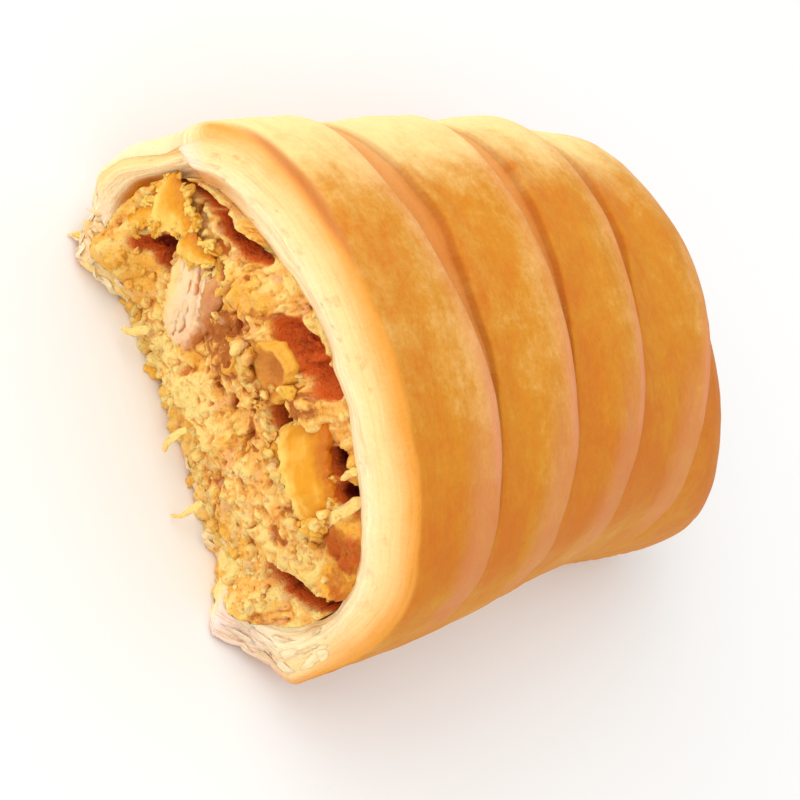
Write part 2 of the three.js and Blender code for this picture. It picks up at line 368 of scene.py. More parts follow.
def sections(near, far, top, belly, bottom, squareness, shares):
    """(y, z) round several sections at shares of the way, from the middle of the base by the -Y side."""
    angle = np.linspace(0, 2 * math.pi, 721)
    across, up = -np.sin(angle), -np.cos(angle)
    lid = up > 0
    near, far, top, belly, bottom, squareness = (
        np.broadcast_to(v, np.shape(top))[:, None] for v in (near, far, top, belly, bottom, squareness)
    )
    power = np.where(lid, 2 / LID_ROUNDNESS, 2 / BASE_SQUARENESS)
    y = np.where(across < 0, near, far) * np.sign(across) * np.abs(across) ** power
    rise = np.abs(up) ** np.where(lid, 2 / squareness, 1)
    z = np.where(lid, belly + (top - belly) * rise, belly - (belly - bottom + 0.3) * rise)
    z = np.maximum(z, bottom)
    found = np.empty((len(y), len(shares), 2))
    for i in range(len(y)):
        way = np.concatenate([[0], np.cumsum(np.hypot(np.diff(y[i]), np.diff(z[i])))])
        found[i, :, 0] = np.interp(shares, way / way[-1], y[i])
        found[i, :, 1] = np.interp(shares, way / way[-1], z[i])
    return found


def bowed(x, y):
    """The closed end bulges between its corners."""
    return x - END_BOW * clamp((x - LENGTH * 0.55) / (LENGTH * 0.45)) * (y / (WIDTH / 2)) ** 2


def torn_edge(y, z):
    """Place of the torn edge along X: forward at the base's two corners."""
    near, far = hill(y, -NEAR_TONGUE_PLACE, TONGUE_HALF_WIDTH), hill(y, FAR_TONGUE_PLACE, TONGUE_HALF_WIDTH)
    tongue = (NEAR_TONGUE * near + FAR_TONGUE * far) * smooth((10 - z) / 6)
    return TORN_LID - tongue - FAR_SIDE_TONGUE * smooth((y - 24) / 3) * smooth((16 - z) / 6)


def cavity(x, shares, gap=0.0):
    """Rings of the cavity's wall at each x, drawn in by gap, with the mouth's outline near the throat."""
    x = np.atleast_1d(np.asarray(x, float))
    mouth = 1 - smooth((x - THROAT) / MOUTH_LENGTH)
    floor = np.full_like(x, BASE_WALL + gap)
    top = np.maximum(floor + 4, crown_height(x) - LID_WALL - gap)
    ring = sections(
        near_half(np.maximum(0, x)) - mix(SIDE_WALL, MOUTH_NEAR_WALL, mouth) - gap,
        far_half(np.maximum(0, x)) - mix(SIDE_WALL, MOUTH_FAR_WALL, mouth) - gap,
        top,
        floor + (top - floor) * 0.3,
        floor,
        mix(CAVITY_CORNER, MOUTH_CORNER, mouth),
        shares,
    )
    y, z = ring[..., 0], ring[..., 1]
    sag = MOUTH_FAR_SAG * smooth((y - 4) / 12) + MOUTH_NEAR_SAG * smooth((-y - 6) / 10)
    z = z - mouth[:, None] * sag * smooth((z - 10) / 8)
    return np.stack([np.broadcast_to(x[:, None], y.shape), y, z], -1)


class Skin:
    """The plain outer surface: its points and outward directions at any x, for fixed shares of the way."""

    def __init__(self, shares):
        self.shares = shares
        end = LENGTH - EDGE_RADIUS * (1 - np.sin(np.linspace(0, math.pi / 2, 60)))
        self.x = np.concatenate([np.arange(0, end[0], 0.25), end])
        top, bottom = crown_height(self.x), underside(self.x)
        belly = np.minimum(BELLY_HEIGHT, (top + bottom) / 2)
        yz = sections(near_half(self.x), far_half(self.x), top, belly, bottom, LID_SQUARENESS, shares)
        self.points = np.concatenate([bowed(self.x[:, None], yz[..., 0])[..., None], yz], -1)
        around = np.roll(self.points, -1, 1) - np.roll(self.points, 1, 1)
        outward = np.cross(np.gradient(self.points, axis=0), around)
        self.outward = outward / np.maximum(np.linalg.norm(outward, axis=-1, keepdims=True), 1e-9)

    def at(self, x):
        """Points and outward directions where each row of x holds one place along X for each share."""
        i = np.clip(np.searchsorted(self.x, x) - 1, 0, len(self.x) - 2)
        t = clamp((x - self.x[i]) / (self.x[i + 1] - self.x[i]))[..., None]
        column = np.arange(len(self.shares))[None, :]
        points = mix(self.points[i, column], self.points[i + 1, column], t)
        outward = mix(self.outward[i, column], self.outward[i + 1, column], t)
        points[..., 0] = bowed(x, points[..., 1])
        return points, outward / np.linalg.norm(outward, axis=-1, keepdims=True)


# ---------------------------------------------------------------- meshes


def frame_offset():
    """What takes a point of the loaf into the frame, in millimetres."""
    x = np.linspace(0, LENGTH, 300)
    middle = (CRUST_LOW.y + CRUST_HIGH.y) / 2 / MM
    lean = (far_half(x).max() - near_half(x).max()) / 2
    return np.array([CRUST_HIGH.x / MM - LENGTH, middle - lean, CRUST_LOW.z / MM])


class Gathering:
    """Closed forms, each made of rings of points, joined into one piece."""

    def __init__(self):
        self.vertices, self.quads, self.triangles, self.values = [], [], [], []
        self.count = 0

    def add(self, points, **values):
        """Joins a form of (rings, count, 3) points, closed by a cap at each end ring."""
        rings, count = points.shape[:2]
        row = np.arange(rings - 1)[:, None] * count
        column = np.arange(count)
        following = (column + 1) % count
        quads = np.stack([row + column, row + following, row + count + following, row + count + column], -1)
        first, last, tail = rings * count, rings * count + 1, (rings - 1) * count
        caps = np.concatenate([
            np.stack([np.full(count, first), following, column], -1),
            np.stack([np.full(count, last), tail + column, tail + following], -1),
        ])
        vertices = np.concatenate([points.reshape(-1, 3), points[:1].mean(1), points[-1:].mean(1)])
        quads = quads.reshape(-1, 4)
        halves = np.concatenate([quads[:, :3], quads[:, [0, 2, 3]], caps])
        a, b, c = (vertices[halves[:, k]] for k in range(3))
        if np.einsum("ij,ij->i", a, np.cross(b, c)).sum() < 0:
            quads, caps = quads[:, ::-1], caps[:, ::-1]
        self.vertices.append(vertices)
        self.quads.append(quads + self.count)
        self.triangles.append(caps + self.count)
        self.count += len(vertices)
        spread = {}
        for key, value in values.items():
            value = np.asarray(value, float)
            shape = (rings, count, 3) if value.ndim == 3 else (rings, count)
            value = np.broadcast_to(value, shape).reshape(rings * count, -1)
            spread[key] = np.concatenate([value, value[:1], value[-1:]])
        self.values.append(spread)

    def piece(self, name):
        """The smooth-shaded object, placed in the frame."""
        mesh = bpy.data.meshes.new(name)
        placed = (np.concatenate(self.vertices) + frame_offset()) * MM
        placed[:, 2] = np.maximum(placed[:, 2], 0.0)
        quads, triangles = np.concatenate(self.quads), np.concatenate(self.triangles)
        corners = np.concatenate([quads.ravel(), triangles.ravel()]).astype(np.int32)
        sizes = np.concatenate([np.full(len(quads), 4), np.full(len(triangles), 3)])
        mesh.vertices.add(len(placed))
        mesh.vertices.foreach_set("co", placed.astype(np.float32).ravel())
        mesh.loops.add(len(corners))
        mesh.loops.foreach_set("vertex_index", corners)
        mesh.polygons.add(len(sizes))
        mesh.polygons.foreach_set("loop_start", np.concatenate([[0], np.cumsum(sizes)[:-1]]).astype(np.int32))
        mesh.polygons.foreach_set("use_smooth", np.ones(len(sizes), bool))
        for key in self.values[0]:
            value = np.concatenate([spread[key] for spread in self.values]).astype(np.float32)
            kind = "FLOAT_VECTOR" if value.shape[1] == 3 else "FLOAT"
            made = mesh.attributes.new(key, kind, "POINT")
            made.data.foreach_set("vector" if value.shape[1] == 3 else "value", value.ravel())
        mesh.update(calc_edges=True)
        mesh.validate()
        piece = bpy.data.objects.new(name, mesh)
        bpy.context.scene.collection.objects.link(piece)
        return piece


def place_piece(piece, material, node):
    """Gives a piece its finish and its place in the frame."""
    piece.data.materials.append(material)
    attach(piece, "root")
    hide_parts(node)


def sweep(knots, widths, thicknesses, facing, along, around, blunt=5.0, square=2.0, ragged=0.0, seed=0):
    """Rings of a flattish form along a smooth path, broad side towards facing, edges torn by ragged."""
    path = through(knots, along)
    u = np.linspace(0, 1, along)
    u = (u + 0.5 - 0.5 * np.cos(math.pi * u)) / 2
    path = np.stack([np.interp(u, np.linspace(0, 1, along), path[:, k]) for k in range(3)], -1)
    forward = np.gradient(path, axis=0)
    forward /= np.linalg.norm(forward, axis=1, keepdims=True)
    side = np.cross(forward, facing)
    side /= np.linalg.norm(side, axis=1, keepdims=True)
    out = np.cross(side, forward)
    end = np.sqrt(np.clip(1 - np.abs(2 * u - 1) ** blunt, 0.0004, 1))
    wide = np.interp(u, np.linspace(0, 1, len(widths)), widths) / 2 * end
    thick = np.interp(u, np.linspace(0, 1, len(thicknesses)), thicknesses) / 2 * end
    angle = np.arange(around) / around * 2 * math.pi
    c = np.sign(np.cos(angle)) * np.abs(np.cos(angle)) ** (2 / square)
    s = np.sign(np.sin(angle)) * np.abs(np.sin(angle)) ** (2 / square)
    edges = path[:, None] + 40 * np.sign(c)[:, None]
    tears = rough(edges, 1.6, seed) + 0.6 * noise(edges, 0.5, seed + 1)
    wide = wide[:, None] * c * (1 + ragged * tears)
    rings = path[:, None] + side[:, None] * wide[..., None] + out[:, None] * (thick[:, None] * s)[..., None]
    return rings, u[:, None], np.broadcast_to(-np.cos(angle), (along, around))


def roughened(rings, size, depth, seed):
    """The same rings pushed in and out by noise."""
    out = rings - rings.mean(axis=1, keepdims=True)
    out /= np.maximum(np.linalg.norm(out, axis=-1, keepdims=True), 1e-6)
    return rings + out * (depth * rough(rings, size, seed))[..., None]


def blob(centre, size, turn, seed, relief, rings, around):
    """Rings of a lumpy round form with half sizes size, turned by the rows of turn."""
    polar = (np.arange(rings) + 0.5) / rings * math.pi
    angle = np.arange(around) / around * 2 * math.pi
    way = np.stack([
        np.sin(polar)[:, None] * np.cos(angle),
        np.sin(polar)[:, None] * np.sin(angle),
        np.broadcast_to(np.cos(polar)[:, None], (rings, around)),
    ], -1)
    lumps = 1 + relief * (noise(way + 3.1 * seed, 0.9, seed) + 0.6 * noise(way + 1.7 * seed, 0.45, seed + 1))
    return centre + (way * lumps[..., None] * size) @ turn


# ---------------------------------------------------------------- materials


class Shade:
    """A value or colour of a material. Arithmetic on it adds Math nodes."""

    def __init__(self, finish, socket):
        self.finish = finish
        self.socket = socket

    def _math(self, operation, *values):
        return self.finish.node("ShaderNodeMath", {"operation": operation}, dict(enumerate(values)))

    def __add__(self, other):
        return self._math("ADD", self, other)

    __radd__ = __add__

    def __sub__(self, other):
        return self._math("SUBTRACT", self, other)

    def __rsub__(self, other):
        return self._math("SUBTRACT", other, self)

    def __mul__(self, other):
        return self._math("MULTIPLY", self, other)

    __rmul__ = __mul__

    def between(self, low, high):
        """0 below low and 1 above high, smooth between."""
        settings = {"interpolation_type": "SMOOTHSTEP"}
        return self.finish.node("ShaderNodeMapRange", settings, {0: self, 1: low, 2: high})


class Finish:
    """A material under construction."""

    def __init__(self, name):
        self.material = bpy.data.materials.new(name)
        self.material.use_nodes = True
        self.tree = self.material.node_tree
        self.tree.nodes.clear()
        self.place = self.node("ShaderNodeTexCoord", output="Object")

    def node(self, kind, settings=None, inputs=None, output=0):
        """Adds a node: its settings first, then the values or links of its sockets."""
        made = self.tree.nodes.new(kind)
        for key, value in (settings or {}).items():
            setattr(made, key, value)
        for key, value in (inputs or {}).items():
            if isinstance(value, Shade):
                self.tree.links.new(value.socket, made.inputs[key])
            else:
                made.inputs[key].default_value = value
        return Shade(self, made.outputs[output]) if made.outputs else None

    def attribute(self, name, output="Fac"):
        """A value that the mesh holds at its points."""
        return self.node("ShaderNodeAttribute", {"attribute_name": name}, output=output)

    def noise(self, size, detail=3.0, roughness=0.55, source=None, distortion=0.0):
        """Noise from 0 to 1 with lumps of about size millimetres, one number or one for each axis."""
        unit = 1 if source else MM
        inputs = {"Detail": detail, "Roughness": roughness, "Distortion": distortion}
        inputs["Vector"] = source or self.place
        if isinstance(size, tuple):
            stretch = {"Vector": inputs["Vector"], "Scale": [1 / (s * unit) for s in size]}
            inputs["Vector"] = self.node("ShaderNodeMapping", None, stretch)
            inputs["Scale"] = 1.0
        else:
            inputs["Scale"] = 1 / (size * unit)
        return self.node("ShaderNodeTexNoise", None, inputs)

    def cells(self, size):
        """Distance to the nearest of scattered points about size millimetres apart."""
        return self.node("ShaderNodeTexVoronoi", None, {"Vector": self.place, "Scale": 1 / (size * MM)})

    def colour(self, share, a, b):
        """Colour a where share is 0 and b where it is 1."""
        inputs = {0: share}
        for index, value in ((6, a), (7, b)):
            inputs[index] = value if isinstance(value, Shade) else (*value, 1.0)
        return self.node("ShaderNodeMix", {"data_type": "RGBA"}, inputs, output=2)

    def bump(self, height, depth):
        """Relief of up to depth millimetres where height goes from 0 to 1."""
        return self.node("ShaderNodeBump", None, {"Height": height, "Distance": depth * MM, "Strength": 1.0})

    def surface(self, **sockets):
        """The finished material, with the shader's sockets by their names."""
        named = {key.replace("_", " ").title().replace("Ior", "IOR"): value for key, value in sockets.items()}
        shader = self.node("ShaderNodeBsdfPrincipled", None, named)
        self.node("ShaderNodeOutputMaterial", None, {"Surface": shader})
        return self.material


# How light enters and leaves the damp filling.
MOIST = {
    "subsurface_weight": 0.2,
    "subsurface_radius": (1.0, 0.6, 0.3),
    "subsurface_scale": 0.0008,
    "specular_ior_level": 0.25,
}


def pastry_finish(colours):
    """Egg-washed crust, its torn layers and the damp dough, told apart by the mesh's attributes."""
    f = Finish("baked_pastry")
    glaze, rib, lip, groove, crevice_shade, band, damp, pale, stain_and_shade, spill, even = (
        f.attribute(n)
        for n in ("glaze", "rib", "lip", "groove", "crevice_shade", "band", "damp", "pale", "stain_and_shade", "spill", "even")
    )
    flow = f.attribute("flow", "Vector")
    broad = f.noise(13, 3, 0.6)
    patches = f.noise(4.5, 4, 0.65, distortion=0.4)
    streaks = f.noise((2.6, 7, 6), 4, 0.65, flow)
    wrinkles = f.noise((1.1, 2.4, 2), 4, 0.7, flow)
    speckle = f.noise(0.6, 2, 0.6)
    # Towards the middle of the closed end the bands that run round the loaf fade into plain patches.
    streaks = streaks * (1 - even) + patches * even
    wrinkles = wrinkles * (1 - even) + patches * even
    mottle = (patches - 0.5) * 0.85 + (streaks - 0.5) * 0.5 + (wrinkles - 0.5) * 0.5 + (speckle - 0.5) * 0.35
    # Painted light and shade: ripe rises with pale, which lightens the far shoulder turned to the key lamp,
    # and with rib, which darkens each rib just after its slit; broad and mottle are the crust's own uneven
    # browning.
    ripe = rib * 0.4 + pale * 0.8 + (broad - 0.5) * 0.8 + mottle
    skin = f.colour(ripe.between(-0.1, 0.6), colours.glaze_deep_and_shade, colours.glaze)
    skin = f.colour(ripe.between(0.4, 1.1), skin, colours.glaze_pale_and_lit)
    skin = f.colour(lip * 0.85, skin, colours.lip)
    # Painted light: the far shoulder, turned to the key lamp, is made pale.
    skin = f.colour((pale + mottle * 0.35).between(0.3, 1.15), skin, colours.painted_shoulder_light)
    skin = f.colour((groove + mottle * 0.25).between(0.15, 0.75) * 0.85, skin, colours.groove)
    # Painted shade under each slit's lip and along the crease.
    skin = f.colour(crevice_shade * 0.9, skin, colours.crevice_shade)
    layers = f.noise((7, 9, 0.45), 3, 0.55, flow)
    seams = f.noise((10, 14, 0.3), 2, 0.5, flow)
    place = band + (layers - 0.5) * 0.16 + (patches - 0.5) * 0.14
    crumb = f.colour(place.between(0.25, 0.6), colours.dough, colours.dough_mid)
    crumb = f.colour(place.between(0.55, 0.98), crumb, colours.dough_edge)
    crumb = f.colour((layers - place * 0.3).between(0.42, 0.62) * 0.6, crumb, colours.dough_shade)
    # The damp dough's colour also gives the painted highlight along the fold's edge.
    crumb = f.colour(damp, crumb, colours.dough_pink_and_fold_highlight)
    crumb = f.colour(seams.between(0.54, 0.64) * (damp * 0.35 + 0.12), crumb, colours.dough_edge)
    crumb = f.colour(spill * (0.6 + speckle * 0.4), crumb, colours.paste_light)
    crumb = f.colour((spill * (patches + speckle * 0.4)).between(0.6, 0.95), crumb, colours.paste)
    # Stain on the cavity's wall; painted shade inside the far roll and under the far lid.
    crumb = f.colour((stain_and_shade + (patches - 0.5) * 0.4).between(0.15, 0.9), crumb, colours.dough_stain_and_shade)
    base = f.colour(glaze, crumb, skin)
    skin_height = streaks * 0.25 + patches * 0.2 + wrinkles * 0.35 + speckle * 0.14
    height = glaze * skin_height + (1 - glaze) * (layers * 0.5 + speckle * 0.35)
    return f.surface(
        base_color=base,
        roughness=0.8 - glaze * 0.32 + speckle * 0.1,
        subsurface_weight=0.1,
        subsurface_radius=(1.0, 0.5, 0.25),
        subsurface_scale=0.0015,
        specular_ior_level=0.05,
        normal=f.bump(height, 0.55),
    )


def paste_finish(colours):
    """Coarse yellow paste, stained by spice, with painted shade in its gaps, pits and creases."""
    f = Finish("filling_paste")
    gap_shade, spice, pale = f.attribute("gap_shade"), f.attribute("spice"), f.attribute("pale")
    grain = f.noise(0.5, 3, 0.7)
    patches = f.noise(2.6, 3, 0.6)
    specks = f.noise(1.1, 2, 0.5)
    flecks = f.noise(1.8, 2, 0.5, distortion=0.6)
    pits = f.cells(1.25)
    # Painted light and shade reach the tone through pale; low tone turns brown.
    tone = pale + (patches - 0.5) * 1.1 + (grain - 0.5) * 0.8
    base = f.colour(tone.between(-0.15, 0.4), colours.paste_brown_and_shade, colours.paste)
    base = f.colour(tone.between(0.35, 0.95), base, colours.paste_light)
    hot = spice + (patches - 0.5) * 0.6
    base = f.colour(hot.between(0.2, 0.5) * 0.9, base, colours.paste_amber)
    base = f.colour(hot.between(0.6, 0.95), base, colours.paste_orange)
    base = f.colour(flecks.between(0.58, 0.66) * (0.6 - spice * 0.6), base, colours.paste_pink)
    base = f.colour(specks.between(0.6, 0.7) * 0.4, base, colours.paste_orange)
    # Painted shade: darker at the middle of each small dent.
    base = f.colour((0.22 - pits).between(0.0, 0.14) * 0.4, base, colours.paste_brown_and_shade)
    # Painted shade: gaps, pits and the creases between clumps turn red brown, the deepest gaps nearly black.
    base = f.colour((gap_shade + (grain - 0.5) * 0.4).between(0.1, 0.55), base, colours.gap_shade)
    deep = gap_shade + (patches - 0.5) * 1.3 + (grain - 0.5) * 0.6
    base = f.colour(deep.between(0.65, 1.15), base, colours.deep_gap_shade)
    height = grain * 0.6 + pits.between(0.0, 0.3) * 0.25 + f.noise(0.25, 2, 0.6) * 0.25
    return f.surface(
        base_color=base,
        roughness=0.66 - grain * 0.25,
        **MOIST,
        normal=f.bump(height, 0.5),
    )


def piece_finish(name, plain, shaded, edge, roughness):
    """A smooth chunk: plain along its middle, the second colour towards one side and the third towards the
    other, the second again where tint is high. On the chicken, the strip and the shreds the second is painted
    shade and the third painted light, with paste on the chicken; on the mushroom they are its rim and its
    heart.
    """
    f = Finish(name)
    across, tint = f.attribute("across"), f.attribute("tint")
    fibre = f.noise((6, 0.7, 0.7), 3, 0.6, f.attribute("flow", "Vector"))
    cloud = f.noise(2.4, 3, 0.6)
    share = across * 0.5 + 0.5 + (cloud - 0.5) * 0.7 + (fibre - 0.5) * 0.5
    base = f.colour(share.between(0.5, 1.05), plain, shaded)
    base = f.colour((1 - share).between(0.45, 0.95) * 0.9, base, edge)
    base = f.colour((tint + (cloud - 0.5) * 0.6).between(0.5, 1.2), base, shaded)
    return f.surface(
        base_color=base,
        roughness=roughness + (cloud - 0.5) * 0.2,
        **MOIST,
        normal=f.bump(fibre * 0.7 + f.noise(0.5, 2, 0.6) * 0.3, 0.4),
    )


# ---------------------------------------------------------------- the crust

# Points round the loaf, the length of that way in millimetres, and rings across a rib.
ROUND_COUNT = 380
ROUND_LENGTH = 175
RIB_RINGS = 14
# How far apart the dough's layers lie in the finish, from the mouth to the skin.
LAYER_SPREAD = 8
# Each slit's lip: its place along the loaf at these shares of the way round, from near end to far end.
LIP_SHARES = (0.35, 0.4, 0.45, 0.5, 0.55, 0.6, 0.65, 0.7, 0.75)
LIP_PLACES = (
    (13.2, 13.8, 14.5, 14.2, 13.0, 11.8, 11.2, 11.6, 12.6),
    (26.8, 28.4, 29.9, 31.0, 31.6, 31.7, 31.9, 32.4, 33.2),
    (41.2, 43.4, 45.8, 47.8, 49.4, 49.9, 49.4, 49.0, 49.0),
    (59.4, 61.2, 63.8, 66.4, 68.0, 68.0, 66.6, 65.4, 65.0),
)
# How wide and deep a slit is at those shares.
SLIT_WIDTHS = (0.0, 0.9, 1.6, 2.9, 4.7, 5.8, 5.8, 4.2, 0.6)
SLIT_DEPTHS = (0.0, 0.75, 1.25, 1.8, 2.2, 2.3, 1.8, 0.7, 0.0)
SLIT_SCALES = (1.15, 0.95, 0.95, 0.75)
# Across a slit from its lip: share of its width, millimetres beyond that, depth, how far the rib is lifted
# and how much painted shade darkens the skin, most under the lip.
SLIT_PROFILE = (
    (0.0, -3.0, 0.0, 1.0, 0.0),
    (0.0, -1.9, 0.0, 1.06, 0.0),
    (0.0, -1.0, 0.0, 1.18, 0.0),
    (0.0, -0.45, 0.01, 1.24, 0.0),
    (0.0, -0.12, 0.06, 1.18, 0.1),
    (0.0, 0.02, 0.26, 0.95, 0.8),
    (0.0, 0.04, 0.6, 0.5, 1.0),
    (0.0, -0.03, 0.86, 0.2, 1.0),
    (0.06, 0.1, 1.0, 0.05, 0.8),
    (0.2, 0.1, 1.02, 0.0, 0.5),
    (0.42, 0.1, 0.94, 0.0, 0.2),
    (0.62, 0.1, 0.78, 0.0, 0.0),
    (0.8, 0.05, 0.62, 0.0, 0.0),
    (0.93, 0.0, 0.52, 0.0, 0.08),
    (0.985, 0.02, 0.44, 0.0, 0.3),
    (1.0, 0.06, 0.14, 0.08, 0.12),
    (1.0, 0.25, 0.03, 0.16, 0.0),
    (1.0, 0.9, 0.01, 0.14, 0.0),
    (1.0, 1.7, 0.0, 0.1, 0.0),
)
# Where the far end of the lid's dough folds over the far side's roll: shares at the mouth and at the skin.
FOLD_SHARES = (0.683, 0.733)
ROLL_SHARE = 0.785
# Where a crease runs between the band and the first rib: middle and half width, as shares of the way round.
# The crust is darkened along it with painted shade.
CREASE_SHARES = (0.615, 0.07)
# How far out the torn band is where its outer rounding starts.
BAND_SHARE = 0.72


def round_shares(count):
    """Shares of the way round, closer together over the lid than under the base."""
    u = np.arange(count) / count
    return u + 0.4 * np.sin(2 * math.pi * u) / (2 * math.pi)


def dough_sheets(rise, way, seed):
    """The torn edges of thin sheets of dough, each standing forward by its own amount, from -1 to 1."""
    place = rise * 9 + 0.7 * noise(np.stack([way / 16, 0 * way, 0 * way], -1), 1, seed)
    sheet = np.floor(place)
    along = np.broadcast_to(way / 7, sheet.shape)

    def forward(index):
        """How far a sheet stands forward along its way."""
        return noise(np.stack([along, index * 7.3, 0 * along], -1), 1, seed + 1)

    return mix(forward(sheet), forward(sheet + 1), smooth((place - sheet - 0.7) / 0.3))


def along_slit(shares, values):
    """A slit's measure at any share of the way round, smooth between the given ones."""
    fine = through(np.stack([LIP_SHARES, values], 1), 200)
    return np.interp(shares, fine[:, 0], fine[:, 1])


class SkinRings:
    """The skin's rings in order, with what places and colours each point."""

    def __init__(self, count):
        self.count = count
        self.rows = []

    def add(self, x, sink=0.0, lift=0.0, groove=0.0, glaze=1.0, place=0.0, crevice_shade=0.0, band=1.0):
        row = (x, sink, lift, groove, glaze, place, crevice_shade, band)
        self.rows.append([np.broadcast_to(np.asarray(v, float), (self.count,)) for v in row])

    def stacked(self):
        return [np.array(column) for column in zip(*self.rows)]


def skin_rings(shape, skin, edge, start):
    """Rings from the torn edge to the closed end."""
    shares = skin.shares
    seed = shape.seed
    rings = SkinRings(len(shares))
    radius = 0.8 + 1.4 * smooth((start[:, 2] - 6) / 10)
    ragged = 0.035 * noise(start, 2.2, seed + 3)
    crease = hill(shares, *CREASE_SHARES)
    for angle in np.linspace(0, math.pi / 2, 13):
        turned = angle / (math.pi / 2)
        glaze = smooth((turned - 0.66 + ragged + 0.46 * crease) / 0.28)
        band = mix(BAND_SHARE, 1, turned / 0.8)
        x, sink = edge + radius * (1 - math.cos(angle)), radius * (1 - math.sin(angle))
        # Painted shade along the crease, in the groove's colour and the crevice shade's.
        groove = crease * hill(turned, 0.6, 0.45)
        crevice_shade = 0.4 * crease * hill(turned, 0.62, 0.25)
        rings.add(x, sink, 0.5, groove, glaze, 0.3, crevice_shade, band)
    place, lift_from = edge + radius, 0.5
    widths, depths = along_slit(shares, SLIT_WIDTHS), along_slit(shares, SLIT_DEPTHS)
    widths, depths = np.maximum(widths, 0), np.maximum(depths, 0) * shape.slit_depth / MM / max(SLIT_DEPTHS)
    for i, (lip_places, scale) in enumerate(zip(LIP_PLACES, SLIT_SCALES)):
        lip = along_slit(shares, lip_places) + 0.22 * noise(start + 9 * i, 5, seed + 20 + i)
        width = scale * widths * (1 + 0.1 * noise(start + 7 * i, 6, seed + 24 + i))
        depth = depths * (1 + 0.12 * noise(start + 5 * i, 9, seed + 30 + i))
        begin = lip + SLIT_PROFILE[0][1]
        for t in np.linspace(0, 1, RIB_RINGS + 2)[1:-1]:
            rings.add(mix(place, begin, t), 0, mix(lift_from, 1, smooth(t * 1.05)), 0, 1, t * 0.85)
        opened = smooth(depth / 0.7)
        for share, beyond, sink, lift, crevice_shade in SLIT_PROFILE:
            place = 0.0 if share > 0.9 else 1.0
            at = lip + share * width + beyond
            rings.add(at, sink * depth, lift, sink * opened, 1, place, crevice_shade * opened)
        place, lift_from = lip + width + SLIT_PROFILE[-1][1], SLIT_PROFILE[-1][3]
    for t in np.linspace(0, 1, 30)[1:]:
        way = math.sin(t * math.pi / 2) * 0.4 + t * 0.6
        rings.add(mix(place, LENGTH, way), 0, mix(lift_from, 0.35, smooth(t * 3)), 0, 1, 0.3 * t)
    return rings.stacked()


